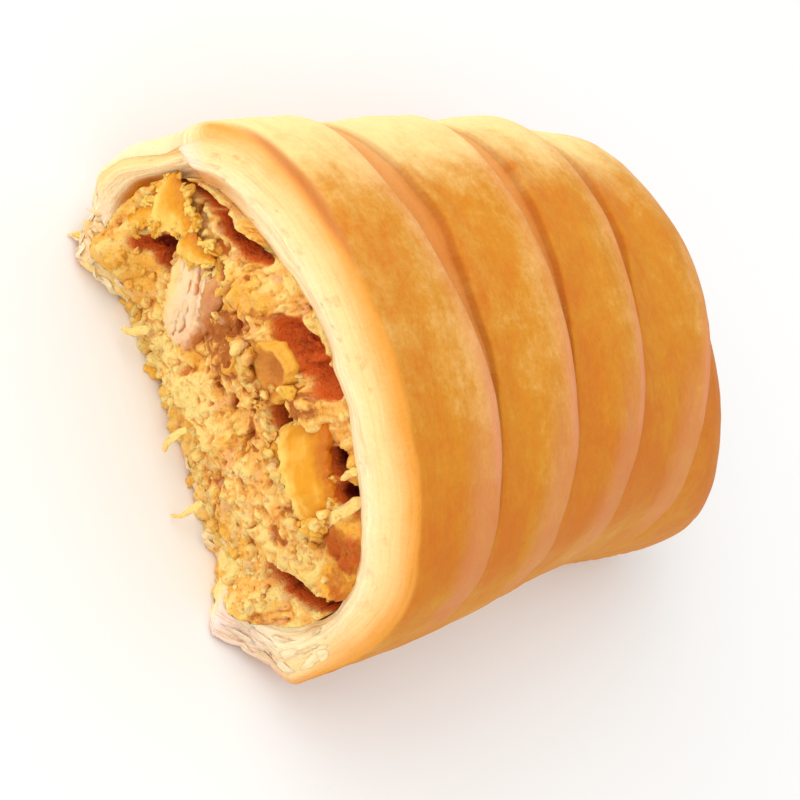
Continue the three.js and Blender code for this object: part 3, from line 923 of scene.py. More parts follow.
def crust_mesh(shape):
    """The crust in one closed form, with its torn band's rows of points and how damp each column is."""
    shares = round_shares(ROUND_COUNT)
    skin = Skin(shares)
    seed = shape.seed
    start = skin.at(np.zeros((1, len(shares))))[0][0]
    lid = smooth((start[:, 2] - 10) / 12)
    low = smooth((12 - start[:, 2]) / 8)
    edge = torn_edge(start[:, 1], start[:, 2]) - 1.5 * lid
    edge = edge + (0.2 + 0.5 * low) * noise(start, 6, seed + 1)
    edge = edge + (0.02 + 0.5 * low) * noise(start, 1.4, seed + 2)
    edge = edge - 0.7 * low * np.maximum(0, noise(start, 0.7, seed + 4))
    x, sink, lift, groove, glaze, place, crevice_shade, outer_band = skin_rings(shape, skin, edge, start)
    points, outward = skin.at(x)
    reach = np.where(shares < 0.5, 0.19, 0.3)
    ribbed = np.sqrt(np.maximum(0, 1 - ((shares - 0.5) / reach) ** 2))
    parted = smooth((shares - 0.335) / 0.08) * smooth((0.79 - shares) / 0.12)
    lift = mix(0.6, lift, parted)
    way = np.broadcast_to(shares * ROUND_LENGTH, x.shape)
    flow = np.stack([x, way, sink], -1)
    dents = shape.skin_relief / MM * rough(points, 12, seed + 5)
    creases = 0.09 * noise(flow / np.array([1.3, 15, 4]), 1, seed + 6)
    creases = creases + 0.05 * noise(flow / np.array([0.6, 6, 4]), 1, seed + 7)
    shoulder = 0.2 * hill(shares, 0.7, 0.05) * smooth((24 - x) / 14)
    shoulder = shoulder + 1.4 * hill(shares, ROLL_SHARE + 0.005, 0.034) * smooth((16 - x) / 10)
    shoulder = shoulder - 0.7 * hill(shares, *CREASE_SHARES) * hill(x - edge, 1.9, 1.3)
    height = shape.rib_swell / MM * lift * ribbed - sink + (dents + creases) * glaze + shoulder
    points = points + outward * height[..., None]
    lip = smooth((lift - 1.0) / 0.14) * ribbed * mix(0.35, 1, smooth((0.52 - shares) / 0.1))
    near_lip = smooth((0.47 - shares) / 0.08) * smooth((shares - 0.26) / 0.06)
    lip = np.maximum(lip, 0.5 * smooth((place - 0.5) / 0.35) * near_lip)
    # Painted shade: rib is low just after each slit, darkening the skin there, and rises towards the next
    # lip.
    rib = place * ribbed + 0.35 * (1 - ribbed)
    # The closed end's face, drawn in to its middle and bowed like the rest.
    last = points[-1]
    middle = (last.min(0) + last.max(0)) / 2
    draw = np.array([0.95, 0.88, 0.78, 0.65, 0.5, 0.35, 0.2, 0.08])[:, None]
    cap = middle + (last - middle) * draw[..., None]
    set_back = last[:, 0] - bowed(LENGTH, last[:, 1])
    cap[..., 0] = bowed(LENGTH, cap[..., 1]) + mix(set_back.mean(), set_back, smooth(draw))
    # The torn band, from the mouth out to the skin's edge.
    mouth = cavity(THROAT, shares)[0]
    mouth[:, 0] = torn_edge(mouth[:, 1], mouth[:, 2]) + 0.6 + 0.3 * noise(mouth, 2.6, seed + 8)
    mouth[:, 1:] += stir(mouth, 2.2, seed + 9, 2) * 0.35
    share = np.linspace(0, 1, 42)[:-1]
    rise = share[:, None]
    band = mix(mouth[None], points[:1], share[:, None, None])
    band[..., 0] = mix(mouth[:, 0], points[0, :, 0], np.sin(rise * math.pi / 2))
    roll = hill(shares, ROLL_SHARE, 0.045)
    base = smooth((10 - start[:, 2]) / 5) * smooth((25 - np.abs(start[:, 1])) / 3)
    swell = (0.2 + 0.8 * lid) * np.sin(math.pi * rise**0.9) ** 2
    tuck = smooth((0.42 - rise) / 0.3) * smooth(rise / 0.1)
    swell = swell + roll * (1.7 * hill(rise, 0.68, 0.24) - 1.6 * tuck)
    line = 0.3 + 0.05 * noise(start, 14, seed + 11)
    seam = (0.15 + 0.2 * lid) * hill(rise, line, 0.07)
    corner = hill(shares, 0.2, 0.09) + 0.35 * hill(shares, ROLL_SHARE + 0.04, 0.06)
    fold_line = mix(*FOLD_SHARES, rise) + 0.004 * noise(band, 2.0, seed + 14)
    fold = smooth((fold_line - shares) / 0.009)
    step = hill(shares, fold_line, 0.045) * (1.7 * fold - 1.1 * (1 - fold))
    fade = np.minimum(1, 8 * share * (1 - share))[:, None]
    sheets = dough_sheets(rise, way[0], seed + 12) * (0.12 + shape.layer_relief / MM * 0.32 * corner)
    fine = 0.16 * rough(band, 1.6, seed + 13) - 0.3 * smooth((rough(band, 1.3, seed + 19) - 0.42) / 0.1)
    fine = fine + base * (0.9 * billows(band, 1.8, seed + 15) - 0.2)
    band[..., 0] -= swell - seam + fade * (step + sheets + fine)
    # The cavity's wall, from its closed end out to the mouth.
    inner = []
    for d in (CAVITY_END, 60, 45, 30, 20, 13, 9.5, 7, 5, 3.6, 2.6, 1.8, 1.1, 0.5):
        ring = cavity(max(THROAT, d), shares)[0]
        ring[:, 0] = mix(mouth[:, 0] + d, d, smooth(d / 8))
        ring[:, 1:] += 0.35 * stir(ring, 2.2, seed + 9, 2) * (d < 30)
        inner.append(ring)
    inner = np.array(inner)
    form = np.concatenate([inner, band, points, cap])

    def spread(*values):
        """One value for each part of the form, from the cavity's wall to the end face."""
        parts = zip(values, (inner, band, points, cap))
        return np.concatenate([np.broadcast_to(value, part.shape[:2]) for value, part in parts])

    bare = smooth((shares - 0.7) / 0.03) * smooth((0.87 - shares) / 0.04)
    bare = bare * smooth((mix(3.5, 6.5, roll) + 0.6 * noise(points, 2.5, seed + 16) - x) / 2.0)
    glaze = glaze * (1 - bare)
    outer_band = mix(outer_band, 0.3, bare)
    damp = clamp(hill(start[:, 1], -25, 6) * smooth((10 - start[:, 2]) / 6))
    damp = np.maximum(damp, 0.4 * hill(start[:, 1], 28, 6) * smooth((7 - start[:, 2]) / 3))
    # Painted highlight: a pale pink-white strip along the edge of the fold, in the raw dough's colour.
    damp_and_fold_highlight = np.maximum(damp, 0.55 * hill(shares, fold_line - 0.012, 0.012))
    # Painted light: pale lightens the skin over the far shoulder, which faces the key lamp, and a little low
    # on the near side; it fades towards the closed end.
    pale = smooth((shares - 0.32) / 0.18) * mix(0.26, 0.42, smooth((50 - x) / 50))
    pale = np.maximum(pale, 0.3 * smooth((0.36 - shares) / 0.08))
    drift = 0.012 * noise(points, 3, seed + 17) + 0.006 * noise(points, 1.1, seed + 18)
    pale = np.maximum(pale, smooth((shares + drift - 0.51) / 0.19))
    pale = pale * mix(0.35, 1, smooth((0.8 - shares) / 0.1)) * smooth((0.92 - shares) / 0.05)
    pale = pale * mix(0.3, 1, smooth((80 - x) / 22))
    # The cavity's wall is stained by the filling; inside the far roll and under the far lid the same colour
    # is painted shade.
    stain_and_shade = roll * smooth((0.45 - rise) / 0.2) + 0.04 * smooth((0.1 - rise) / 0.1)
    stain_and_shade = np.maximum(stain_and_shade, 0.7 * hill(shares, 0.68, 0.06) * smooth((0.6 - rise) / 0.35))
    layer_place = spread(0.1, share[:, None] * BAND_SHARE, outer_band, 1)
    way = np.broadcast_to(shares * ROUND_LENGTH, form.shape[:2])
    gathering = Gathering()
    gathering.add(
        form,
        glaze=spread(0, 0, glaze, 1),
        rib=spread(0, 0, rib, rib[-1]),
        lip=spread(0, 0, lip, 0),
        groove=spread(0, 0, groove, 0),
        crevice_shade=spread(0, 0, crevice_shade, 0),
        band=layer_place,
        damp=spread(damp, damp_and_fold_highlight, damp, 0),
        pale=spread(0, 0, pale, pale[-1]),
        stain_and_shade=spread(1, stain_and_shade, 0, 0),
        spill=spread(0, base * smooth((0.95 - rise) / 0.2), 0, 0),
        even=spread(0, 0, 0, smooth((1 - draw) / 0.5)),
        flow=np.stack([form[..., 0], way, layer_place * LAYER_SPREAD], -1),
    )
    return gathering.piece("pastry_crust_baked"), band, damp


# Torn flakes: shares of the way round they lie between, how many, their greatest length and how far they
# stand out.
FLAKES = (
    (0.15, 0.24, 22, 5.0, 0.2),
    (0.82, 0.9, 20, 3.0, 0.45),
    (0.9, 1.1, 20, 2.5, 0.4),
)
FAR_FLAKES = 15


def flakes_mesh(shape, band, damp):
    """Thin torn flakes standing out of the dough's layers, laid along the torn band's rows of points."""
    random = np.random.default_rng(shape.seed + 5)
    rows, columns = band.shape[:2]
    shares = round_shares(columns)
    gathering = Gathering()
    for low, high, count, longest, stand in FLAKES:
        for _ in range(count):
            middle, rise = random.uniform(low, high), random.uniform(0.2, 0.98)
            half = random.uniform(0.3, 0.5) * longest / ROUND_LENGTH
            wide, thick = random.uniform(0.4, 1.3), random.uniform(0.12, 0.26)
            place = (middle + np.linspace(-half, half, 5)) % 1
            row = rise + random.uniform(-0.07, 0.07) * np.linspace(-1, 1, 5)
            column = np.searchsorted(shares, place) % columns
            knots = band[np.clip((row * rows).astype(int), 0, rows - 1), column]
            bow = np.array([-0.1, 0.7, 1.0, 0.7, -0.1]) * random.uniform(0.4, 1.0) * stand
            knots[:, 0] -= bow
            facing = (-1, random.uniform(-0.4, 0.4), random.uniform(-0.4, 0.4))
            widths, thicknesses = (0.2, wide, wide * 0.9, 0.15), (0.08, thick, thick, 0.06)
            rings, along, across = sweep(knots, widths, thicknesses, facing, along=26, around=12, blunt=4.0)
            rings = roughened(rings, 0.7, 0.16, shape.seed + int(1e4 * middle))
            tone = 0.5 * clamp(rise * 0.8 + random.uniform(-0.3, 0.2))
            way = ROUND_LENGTH * middle + 7 * along + 0 * across
            flow = np.stack([rings[..., 0], way, LAYER_SPREAD * tone + across], -1)
            gathering.add(rings, band=tone, damp=damp[column[2]] * random.uniform(0.4, 1.0), flow=flow)
    # Ragged flakes of dough where the base tore at its far corner.
    for i in range(FAR_FLAKES):
        y, z, long = random.uniform(23.0, 27.0), random.uniform(0.6, 5.0), random.uniform(1.6, 2.8)
        root = np.array([torn_edge(y, z) + 1.0, y, z])
        aim = np.array([-1.0, random.uniform(-0.2, 0.7), random.uniform(-0.5, 0.5)])
        knots = [root + aim * long * share + random.normal(size=3) * 0.15 for share in (0, 0.35, 0.7)]
        wide, facing = random.uniform(1.2, 2.4), random.normal(size=3) + np.array([0, 0, 1.5])
        widths, thicknesses = (wide, 0.9 * wide, 0.3), (0.5, 0.3, 0.1)
        rings = sweep(
            knots, widths, thicknesses, facing, along=20, around=14, blunt=4.0, ragged=0.5, seed=i
        )[0]
        rings = roughened(rings, 0.5, 0.2, i)
        rings[..., 2] = np.maximum(rings[..., 2], 0.05)
        gathering.add(rings, band=random.uniform(0.3, 0.7), damp=random.uniform(0.0, 0.2), flow=rings)
    return gathering.piece("pastry_torn_flakes")


# ---------------------------------------------------------------- the filling

FACE_MIDDLE_HEIGHT = 14.5
# Gaps in the torn face: y, z, half length, half width, turn in degrees from +Y towards +Z, depth.
# Each is darkened with painted shade as well as sunk.
GAPS = (
    (22.6, 18.6, 3.2, 0.6, -40, 2.6),
    (17.8, 21.0, 2.8, 0.95, -33, 3.6),
    (13.8, 23.6, 2.4, 0.85, -36, 3.6),
    (1.2, 25.2, 3.4, 1.4, -18, 3.0),
    (-3.0, 26.4, 2.2, 1.1, -14, 2.8),
    (-4.3, 20.0, 2.0, 1.3, 22, 9.0),
    (-0.7, 13.3, 1.1, 0.5, 20, 2.6),
    (20.6, 10.0, 2.3, 1.0, 116, 4.4),
    (18.8, 9.4, 1.3, 0.9, 0, 4.0),
    (25.8, 16.0, 2.4, 0.6, -35, 2.4),
    (13.2, 19.0, 1.2, 0.5, -20, 4.0),
    (-11.8, 24.8, 1.7, 0.9, -12, 6.5),
    (-15.2, 24.1, 1.2, 1.0, 10, 8.0),
    (-22.6, 11.4, 3.0, 1.0, 142, 4.4),
    (-25.4, 14.8, 2.8, 0.9, 116, 4.2),
    (-20.4, 9.6, 1.8, 0.8, 160, 2.0),
    (10.0, 16.6, 3.2, 0.4, 72, 1.8),
    (-5.2, 13.4, 1.4, 0.35, 60, 1.5),
    (-8.2, 17.7, 2.0, 0.55, -15, 2.2),
    (-9.4, 11.3, 0.6, 0.5, 0, 1.8),
    (-16.5, 7.5, 1.0, 0.7, 30, 2.6),
    (-11.4, 9.0, 0.5, 0.4, 0, 1.4),
    (-13.3, 12.6, 0.5, 0.45, 0, 1.5),
    (-14.8, 15.2, 0.6, 0.4, 0, 1.4),
    (-11.0, 14.6, 0.5, 0.4, 0, 1.3),
    (-17.0, 12.2, 0.5, 0.4, 0, 1.2),
    (-20.2, 8.6, 0.6, 0.4, 0, 1.4),
    (5.4, 8.2, 0.6, 0.5, 0, 1.4),
    (3.0, 19.2, 0.8, 0.5, 20, 1.6),
    (6.6, 18.6, 0.6, 0.5, 0, 1.5),
)
# Larger lumps: y, z, half length, half width, turn, height, paleness and spice, which mostly run from 0 to 1.
LUMPS = (
    (-11.0, 20.8, 5.6, 3.2, 12, -0.8, 0.3, 0.3),
    (0.2, 21.4, 3.2, 3.0, 0, -0.7, 0.1, 0.2),
    (0.6, 8.8, 5.0, 2.9, 172, 1.9, 1.1, -0.2),
    (5.0, 6.4, 3.0, 2.0, 0, 1.4, 1.0, 0.0),
    (-13.4, 12.0, 8.8, 4.2, -22, 1.2, 0.6, 0.1),
    (-21.0, 6.6, 4.6, 2.8, 0, 0.8, 0.55, 0.2),
    (8.6, 22.0, 3.4, 2.2, -40, 1.1, 0.4, 0.45),
    (5.2, 20.8, 3.0, 2.6, -30, 0.8, 0.3, 0.3),
    (6.4, 15.4, 4.6, 3.6, 0, 0.6, -0.25, 0.1),
    (-6.4, 26.6, 1.8, 1.0, -12, 1.0, 0.6, 0.3),
    (-5.4, 24.2, 2.6, 1.8, -10, 2.0, -0.05, 0.15),
    (-1.4, 17.0, 2.2, 1.8, 0, 0.8, 0.0, 0.15),
    (-20.6, 21.0, 5.0, 2.2, -20, 0.7, 0.1, 1.0),
    (-24.6, 18.4, 2.4, 2.0, 0, 0.5, 0.1, 0.95),
    (-21.6, 14.8, 4.4, 0.9, 150, 1.4, 0.6, 0.25),
    (19.6, 4.0, 4.4, 2.2, 10, 1.6, 0.6, 0.34),
    (24.4, 7.0, 2.2, 1.8, 60, 0.8, 0.6, 0.34),
    (8.6, 6.0, 4.2, 1.8, 0, 0.8, 0.75, 0.1),
    (26.4, 14.0, 2.0, 1.2, 80, 0.5, 0.2, 0.7),
    (-4.6, 14.8, 2.2, 1.8, 0, 0.6, 0.05, 0.2),
    (-4.6, 9.8, 1.8, 1.6, 0, 0.6, 0.4, 0.35),
    (11.4, 18.6, 2.4, 1.6, 0, 0.7, 0.45, 0.4),
)


def oval(y, z, centre_y, centre_z, long, wide, turn):
    """Distance from an oval's middle, 1 at its edge."""
    c, s = math.cos(math.radians(turn)), math.sin(math.radians(turn))
    a = ((y - centre_y) * c + (z - centre_z) * s) / long
    b = ((z - centre_z) * c - (y - centre_y) * s) / wide
    return np.sqrt(a * a + b * b)


def face_plain(y, z):
    """The filling's torn face without its lumps."""
    inset = smooth((crown_height(0.0) - LID_WALL - z) / 5)
    bulge = 1.2 * smooth((24 - np.abs(y)) / 14) * inset
    return torn_edge(y, z) - 0.1 - bulge + 1.8 * (1 - inset)


def face_relief(y, z, shape):
    """How far the face stands forward, how much painted shade lies in its gaps, pits and creases, and how
    pale and spiced it is.
    """
    seed = shape.seed + 40
    place = np.stack([np.zeros_like(y), y, z], -1)
    bent = place + 0.8 * stir(place, 2.4, seed)
    near, after, own = clumps(bent, 4.2, seed + 4)
    split = smooth((after - near) * 3)
    lumps = billows(bent, 4.2, seed + 5)
    crease = smooth((0.34 - lumps) / 0.3)
    height = 0.9 * split * (own - 0.3) + 1.1 * lumps
    grit = billows(place, 1.25, seed + 9, 2)
    crumbs = 0.65 * grit + 0.12 * noise(place, 0.45, seed + 16)
    # Painted shade along the creases between clumps; pits, gaps and the creases between lumps add more below.
    gap_shade = 0.3 * smooth((0.08 - (after - near)) / 0.08) * smooth((0.45 - own) * 4)
    pale = 0.25 + 0.5 * own
    spice = 0.4 * smooth(rough(place, 6, seed + 12) * 2.2)
    wander = 0.3 * rough(place, 2.4, seed + 13)
    for lump_y, lump_z, long, wide, turn, rise, paleness, spiced in LUMPS:
        inside = smooth((1.25 - oval(y, z, lump_y, lump_z, long, wide, turn) + wander) / 0.55)
        height = height * (1 - 0.35 * inside) + rise * inside
        pale = mix(pale, paleness + 0.25 * (own - 0.5), inside * 0.85)
        spice = mix(spice, spiced, inside * 0.85)
    pits, _, chosen = clumps(place, 1.5, seed + 15)
    pit = smooth((0.3 - pits) / 0.18) * (chosen < 0.28)
    height = height + crumbs - 0.7 * pit
    gap_shade = np.maximum(gap_shade, 0.4 * pit)
    for gap_y, gap_z, long, wide, turn, depth in GAPS:
        inside = smooth((1.35 - oval(y, z, gap_y, gap_z, long, wide, turn) + wander * 1.3) / 0.6)
        height = height - (depth - 1.1 * grit * min(1.0, depth / 4)) * inside
        gap_shade = np.maximum(gap_shade, inside**0.5 * min(1.6, depth / 4))
    gap_shade = np.maximum(gap_shade, 0.32 * crease**2)
    # Painted light and shade: paler on the tops of the grit, darker in pits and in the creases between lumps.
    pale = pale + 1.1 * (grit - 0.4) - 0.5 * pit - 0.8 * crease
    return shape.paste_relief / MM * height, gap_shade, pale, clamp(spice)


def face_at(y, z, shape):
    """The lumpy face's place along X, its painted shade, and how pale and spiced it is."""
    height, gap_shade, pale, spice = face_relief(y, z, shape)
    return face_plain(y, z) + 0.6 - height, gap_shade, pale, spice


def core_mesh(shape):
    """The filling in one closed form: the cavity's inside, then its torn face out to the middle."""
    shares = round_shares(ROUND_COUNT)
    seed = shape.seed + 60
    rim = cavity(THROAT, shares, -0.1)[0]
    middle = np.array([0.0, 0.0, FACE_MIDDLE_HEIGHT])
    reach = (np.arange(1, 101) / 100)[::-1]
    face = middle + (rim - middle) * reach[:, None, None]
    x, gap_shade, pale, spice = face_at(face[..., 1], face[..., 2], shape)
    face[..., 0] = x
    drift = np.stack([0 * x, noise(face, 1.9, seed), noise(face, 1.9, seed + 1)], -1)
    finer = stir(face, 0.7, seed + 3)
    face = face + (0.55 * drift + 0.14 * finer) * (1 - reach**6)[:, None, None]
    body = np.array([cavity(d, shares, 0.35)[0] for d in (CAVITY_END - 1, 55, 35, 20, 12, 8, 6)])
    form = np.concatenate([body, face])

    def spread(value, behind):
        """behind on the filling's body and value on its face."""
        return np.concatenate([np.full(body.shape[:2], behind), value])

    gathering = Gathering()
    gathering.add(form, gap_shade=spread(gap_shade, 0.0), spice=spread(spice, 0.3), pale=spread(pale, 0.5))
    return gathering.piece("filling_paste_core")


def inside_mouth(y, z, rim):
    """Whether a place on the face lies within the rim's (y, z) outline."""
    before = np.roll(rim, 1, 0)
    crossed = (rim[:, 1] > z) != (before[:, 1] > z)
    reach = rim[:, 0] + (z - rim[:, 1]) * (before[:, 0] - rim[:, 0]) / (before[:, 1] - rim[:, 1] + 1e-9)
    return np.sum(crossed & (y < reach)) % 2 == 1


# Where crumbs lie: middle (y, z), half sizes along both, how many, their size, how far forward, their
# paleness and their spice. None leaves those two as the face has them.
CRUMBS = (
    (0.0, 16.0, 27.0, 13.0, 110, 0.6, -0.1, None, None),
    (20.6, 4.2, 4.2, 2.4, 26, 1.1, 0.1, 0.55, 0.3),
    (-21.0, 6.4, 3.6, 2.6, 20, 0.9, -0.1, 0.6, 0.2),
    (-5.0, 4.8, 12.0, 1.2, 40, 1.0, 0.1, 0.7, 0.35),
    (9.0, 5.4, 7.0, 1.8, 30, 1.1, 0.1, 0.7, 0.1),
    (13.2, 14.6, 5.6, 4.6, 34, 0.9, 0.2, 0.55, 0.3),
    (-22.0, 16.0, 4.0, 1.6, 12, 0.7, 0.0, 0.6, 0.4),
    (-13.0, 12.4, 7.6, 4.0, 20, 0.5, -0.1, 0.6, 0.1),
    (-11.6, 17.6, 5.6, 1.0, 90, 0.8, 1.3, 0.75, 0.2),
    (-17.4, 19.6, 1.0, 2.0, 26, 0.9, 1.0, 0.5, 0.35),
    (0.6, 18.8, 3.6, 1.3, 60, 1.0, 1.5, 0.4, 0.2),
    (-2.6, 21.4, 1.0, 2.4, 24, 0.8, 1.5, 0.4, 0.3),
)

# Chunks that no crumb lies on: middle (y, z), half sizes and turn.
CLEAR = ((0.7, 22.0, 3.0, 2.9, 0), (-11.6, 20.6, 5.8, 2.8, 12), (12.6, 12.0, 4.6, 2.0, 48))

# Threads of filling that hang over the face: their way and their width.
THREADS = (
    (((-2.8, -9.6, 5.0), (-3.6, -10.0, 3.4), (-4.0, -10.2, 1.8), (-4.3, -9.6, 0.5)), 1.2),
    (((1.6, -16.6, 25.6), (0.0, -16.9, 23.8), (-0.8, -17.4, 22.0), (-0.6, -18.4, 20.6)), 1.7),
    (((1.2, -13.4, 26.6), (0.2, -13.6, 25.6), (-0.2, -13.8, 24.9)), 1.1),
    (((-2.2, 24.4, 4.6), (-3.4, 25.0, 2.8), (-4.2, 25.6, 1.4), (-4.6, 26.0, 0.6)), 1.6),
    (((-2.0, 11.6, 5.4), (-2.8, 12.2, 3.4), (-3.0, 12.8, 2.2), (-3.0, 13.4, 1.2)), 1.3),
    (((-2.6, -1.0, 6.4), (-3.4, -1.4, 4.4), (-3.4, -1.8, 2.8), (-3.0, -2.4, 1.6)), 1.4),
)

SPILLED = 230


def bits_mesh(shape):
    """Crumbs and short shreds lying in the torn face."""
    random = np.random.default_rng(shape.seed)
    rim = cavity(THROAT, np.linspace(0, 1, 200, endpoint=False), 0.4)[0][:, 1:]
    gathering = Gathering()
    for middle_y, middle_z, half_y, half_z, count, largest, forward, paleness, spiced in CRUMBS:
        y = middle_y + half_y * random.uniform(-1, 1, count)
        z = middle_z + half_z * random.uniform(-1, 1, count)
        sizes = 0.18 + largest * random.random(count) ** 2.2
        x, gap_shade, pale, spice = face_at(y, z, shape)
        pale = pale if paleness is None else np.full(count, paleness)
        spice = spice if spiced is None else np.full(count, spiced)
        for i in range(count):
            turn = any_turn(random)
            shapes, tint = random.uniform(0.6, 1.1, 3), random.uniform(-1, 1, 2)
            seed = int(random.integers(9999))
            covered = min(oval(y[i], z[i], *chunk) for chunk in CLEAR) < 1
            if covered or gap_shade[i] > 0.3 or not inside_mouth(y[i], z[i], rim):
                continue
            middle = np.array([x[i] - (forward - 0.35) * sizes[i], y[i], z[i]])
            rings = blob(middle, sizes[i] * shapes, turn, seed, relief=0.5, rings=10, around=14)
            rings = roughened(rings, 0.5 * sizes[i] + 0.15, 0.22 * sizes[i], seed)
            # Painted light: each crumb is paler on its side facing the lamps and darker behind.
            front_lit_pale = pale[i] + 0.3 * tint[0] + 0.7 * (middle[0] - rings[..., 0]) / sizes[i] - 0.3
            gathering.add(rings, gap_shade=0.0, pale=front_lit_pale, spice=spice[i] + 0.3 * tint[1])
    # Paste that spilled over the torn edge of the base.
    for i in range(SPILLED):
        y, size = random.uniform(-22.5, 20.0), 0.5 + 1.1 * random.random() ** 2
        z = random.uniform(0.5, 4.2 + 4.5 * smooth((-y - 14) / 5) + 2 * smooth((y - 15) / 5))
        turn = any_turn(random)
        middle = np.array([torn_edge(y, z) - 0.1 * size, y, z])
        half_sizes = size * random.uniform(0.6, 1.1, 3)
        rings = blob(middle, half_sizes, turn, i, relief=0.5, rings=12, around=18)
        rings = roughened(rings, 0.5 * size + 0.2, 0.25 * size, i)
        rings[..., 2] = np.maximum(rings[..., 2], 0.05)
        # Painted light: each spilled lump is paler on its side facing the lamps and darker behind.
        front_lit_pale = random.uniform(0.3, 0.9) + 0.4 * (middle[0] - rings[..., 0]) / size
        gathering.add(rings, gap_shade=0.0, pale=front_lit_pale, spice=random.uniform(0.0, 0.5))
    for i, (knots, wide) in enumerate(THREADS):
        widths, thicknesses = (wide, 0.8 * wide, 0.6 * wide, 0.2), (0.6, 0.5, 0.4, 0.2)
        rings = sweep(knots, widths, thicknesses, facing=(-1, 0, 0), along=34, around=16)[0]
        gathering.add(roughened(rings, 0.8, 0.3, shape.seed + i), gap_shade=0.0, pale=0.9, spice=0.1)
    return gathering.piece("filling_chopped_bits")


def add_sweep(gathering, knots, widths, thicknesses, shape, seed, relief, size, tint, **options):
    """Adds a swept piece with the attributes of a smooth chunk."""
    rings, along, across = sweep(knots, widths, thicknesses, (-1, 0, 0.15), **options)
    rings = roughened(rings, size, relief, shape.seed + seed)
    rings = roughened(rings, size * 0.35, relief * 0.6, shape.seed + seed + 1)
    length = np.linalg.norm(np.diff(np.asarray(knots, float), axis=0), axis=1).sum()
    flow = np.stack([along * length + 0 * across, across * float(np.mean(widths)) / 2, 0 * across + seed], -1)
    gathering.add(rings, across=across, tint=tint, flow=flow)
    return rings


# Strands of chicken: their way, widths, thickness and tint.
# A high tint is painted shade, as on the strand by the lid.
STRANDS = (
    (
        ((0.8, 18.8, 15.2), (-0.4, 15.8, 14.6), (-0.9, 12.4, 12.4), (-0.6, 9.8, 8.6), (0.6, 8.6, 5.4)),
        (2.4, 5.4, 6.8, 5.6, 2.6),
        2.4,
        0.1,
    ),
    (
        ((0.4, 14.0, 18.0), (-0.4, 12.0, 17.0), (-0.9, 9.8, 14.4), (-0.2, 8.2, 11.4)),
        (1.6, 2.6, 2.6, 1.4),
        2.0,
        1.0,
    ),
    (((0.2, 16.4, 11.6), (-0.9, 14.0, 10.4), (-1.3, 11.4, 7.4)), (1.4, 2.0, 1.2), 1.4, -0.2),
    (((-0.6, 15.6, 15.4), (-1.6, 12.8, 13.4), (-1.6, 10.4, 10.0)), (0.8, 1.4, 0.8), 0.8, -0.1),
    (((-0.5, 13.8, 16.6), (-1.4, 11.6, 14.8), (-1.4, 9.4, 11.4)), (0.7, 1.2, 0.7), 0.8, 0.2),
    (((-0.4, 16.4, 13.4), (-1.4, 13.8, 11.8), (-1.4, 10.8, 7.4)), (0.7, 1.1, 0.6), 0.7, -0.2),
)
FIBRES = 22


def chicken_mesh(shape):
    """A pale torn piece of chicken: strands, and fibres along the largest."""
    gathering = Gathering()
    for i, (knots, widths, thick, tint) in enumerate(STRANDS):
        thicknesses = (0.7 * thick, thick, 0.7 * thick)
        add_sweep(
            gathering, knots, widths, thicknesses, shape, seed=1 + 4 * i, relief=0.4, size=1.9, tint=tint,
            around=36, along=60, square=3.0, blunt=4.5, ragged=0.2,
        )
    # Fibres along the largest piece.
    random = np.random.default_rng(shape.seed + 8)
    spine = through(STRANDS[0][0], 40)
    for i in range(FIBRES):
        first, aside = random.uniform(2, 20), random.uniform(-2.8, 2.8)
        row = np.linspace(first, first + random.uniform(10, 18), 5).astype(int).clip(0, 39)
        knots = spine[row] + aside * np.array([0.0, 0.55, -0.83])
        knots[:, 0] -= (0.98 - 0.09 * aside**2) * np.array([0.2, 1.0, 1.06, 1.0, 0.2])
        wide = random.uniform(0.7, 1.7)
        # Painted shade: fibres on the lid's side of the piece are darker.
        tint = random.uniform(-0.3, 0.2) + (0.6 if aside < -1.5 else 0.0)
        widths, thicknesses = (0.3, wide, wide, 0.3), (0.2, 0.42, 0.42, 0.2)
        add_sweep(
            gathering, knots, widths, thicknesses, shape, seed=40 + i, relief=0.1, size=1.6, tint=tint,
            around=12, along=40, blunt=4.0, ragged=0.3,
        )
    return gathering.piece("filling_chicken_pieces")


def strip_mesh(shape):
    """The flat golden strip by the lid."""
    gathering = Gathering()
    knots = (
        (0.8, -5.6, 21.8), (-0.6, -8.0, 21.7), (-0.9, -11.6, 21.0), (-0.9, -14.2, 20.6), (-0.1, -16.9, 20.4),
    )
    widths, thicknesses = (7.2, 7.2, 6.8, 6.2, 5.0), (0.9, 1.5, 1.5, 1.4, 0.8)
    add_sweep(
        gathering, knots, widths, thicknesses, shape, seed=11, relief=0.26, size=1.1, tint=0.0,
        around=52, along=90, square=4.0, blunt=14.0, ragged=0.2,
    )
    return gathering.piece("filling_pepper_strip")


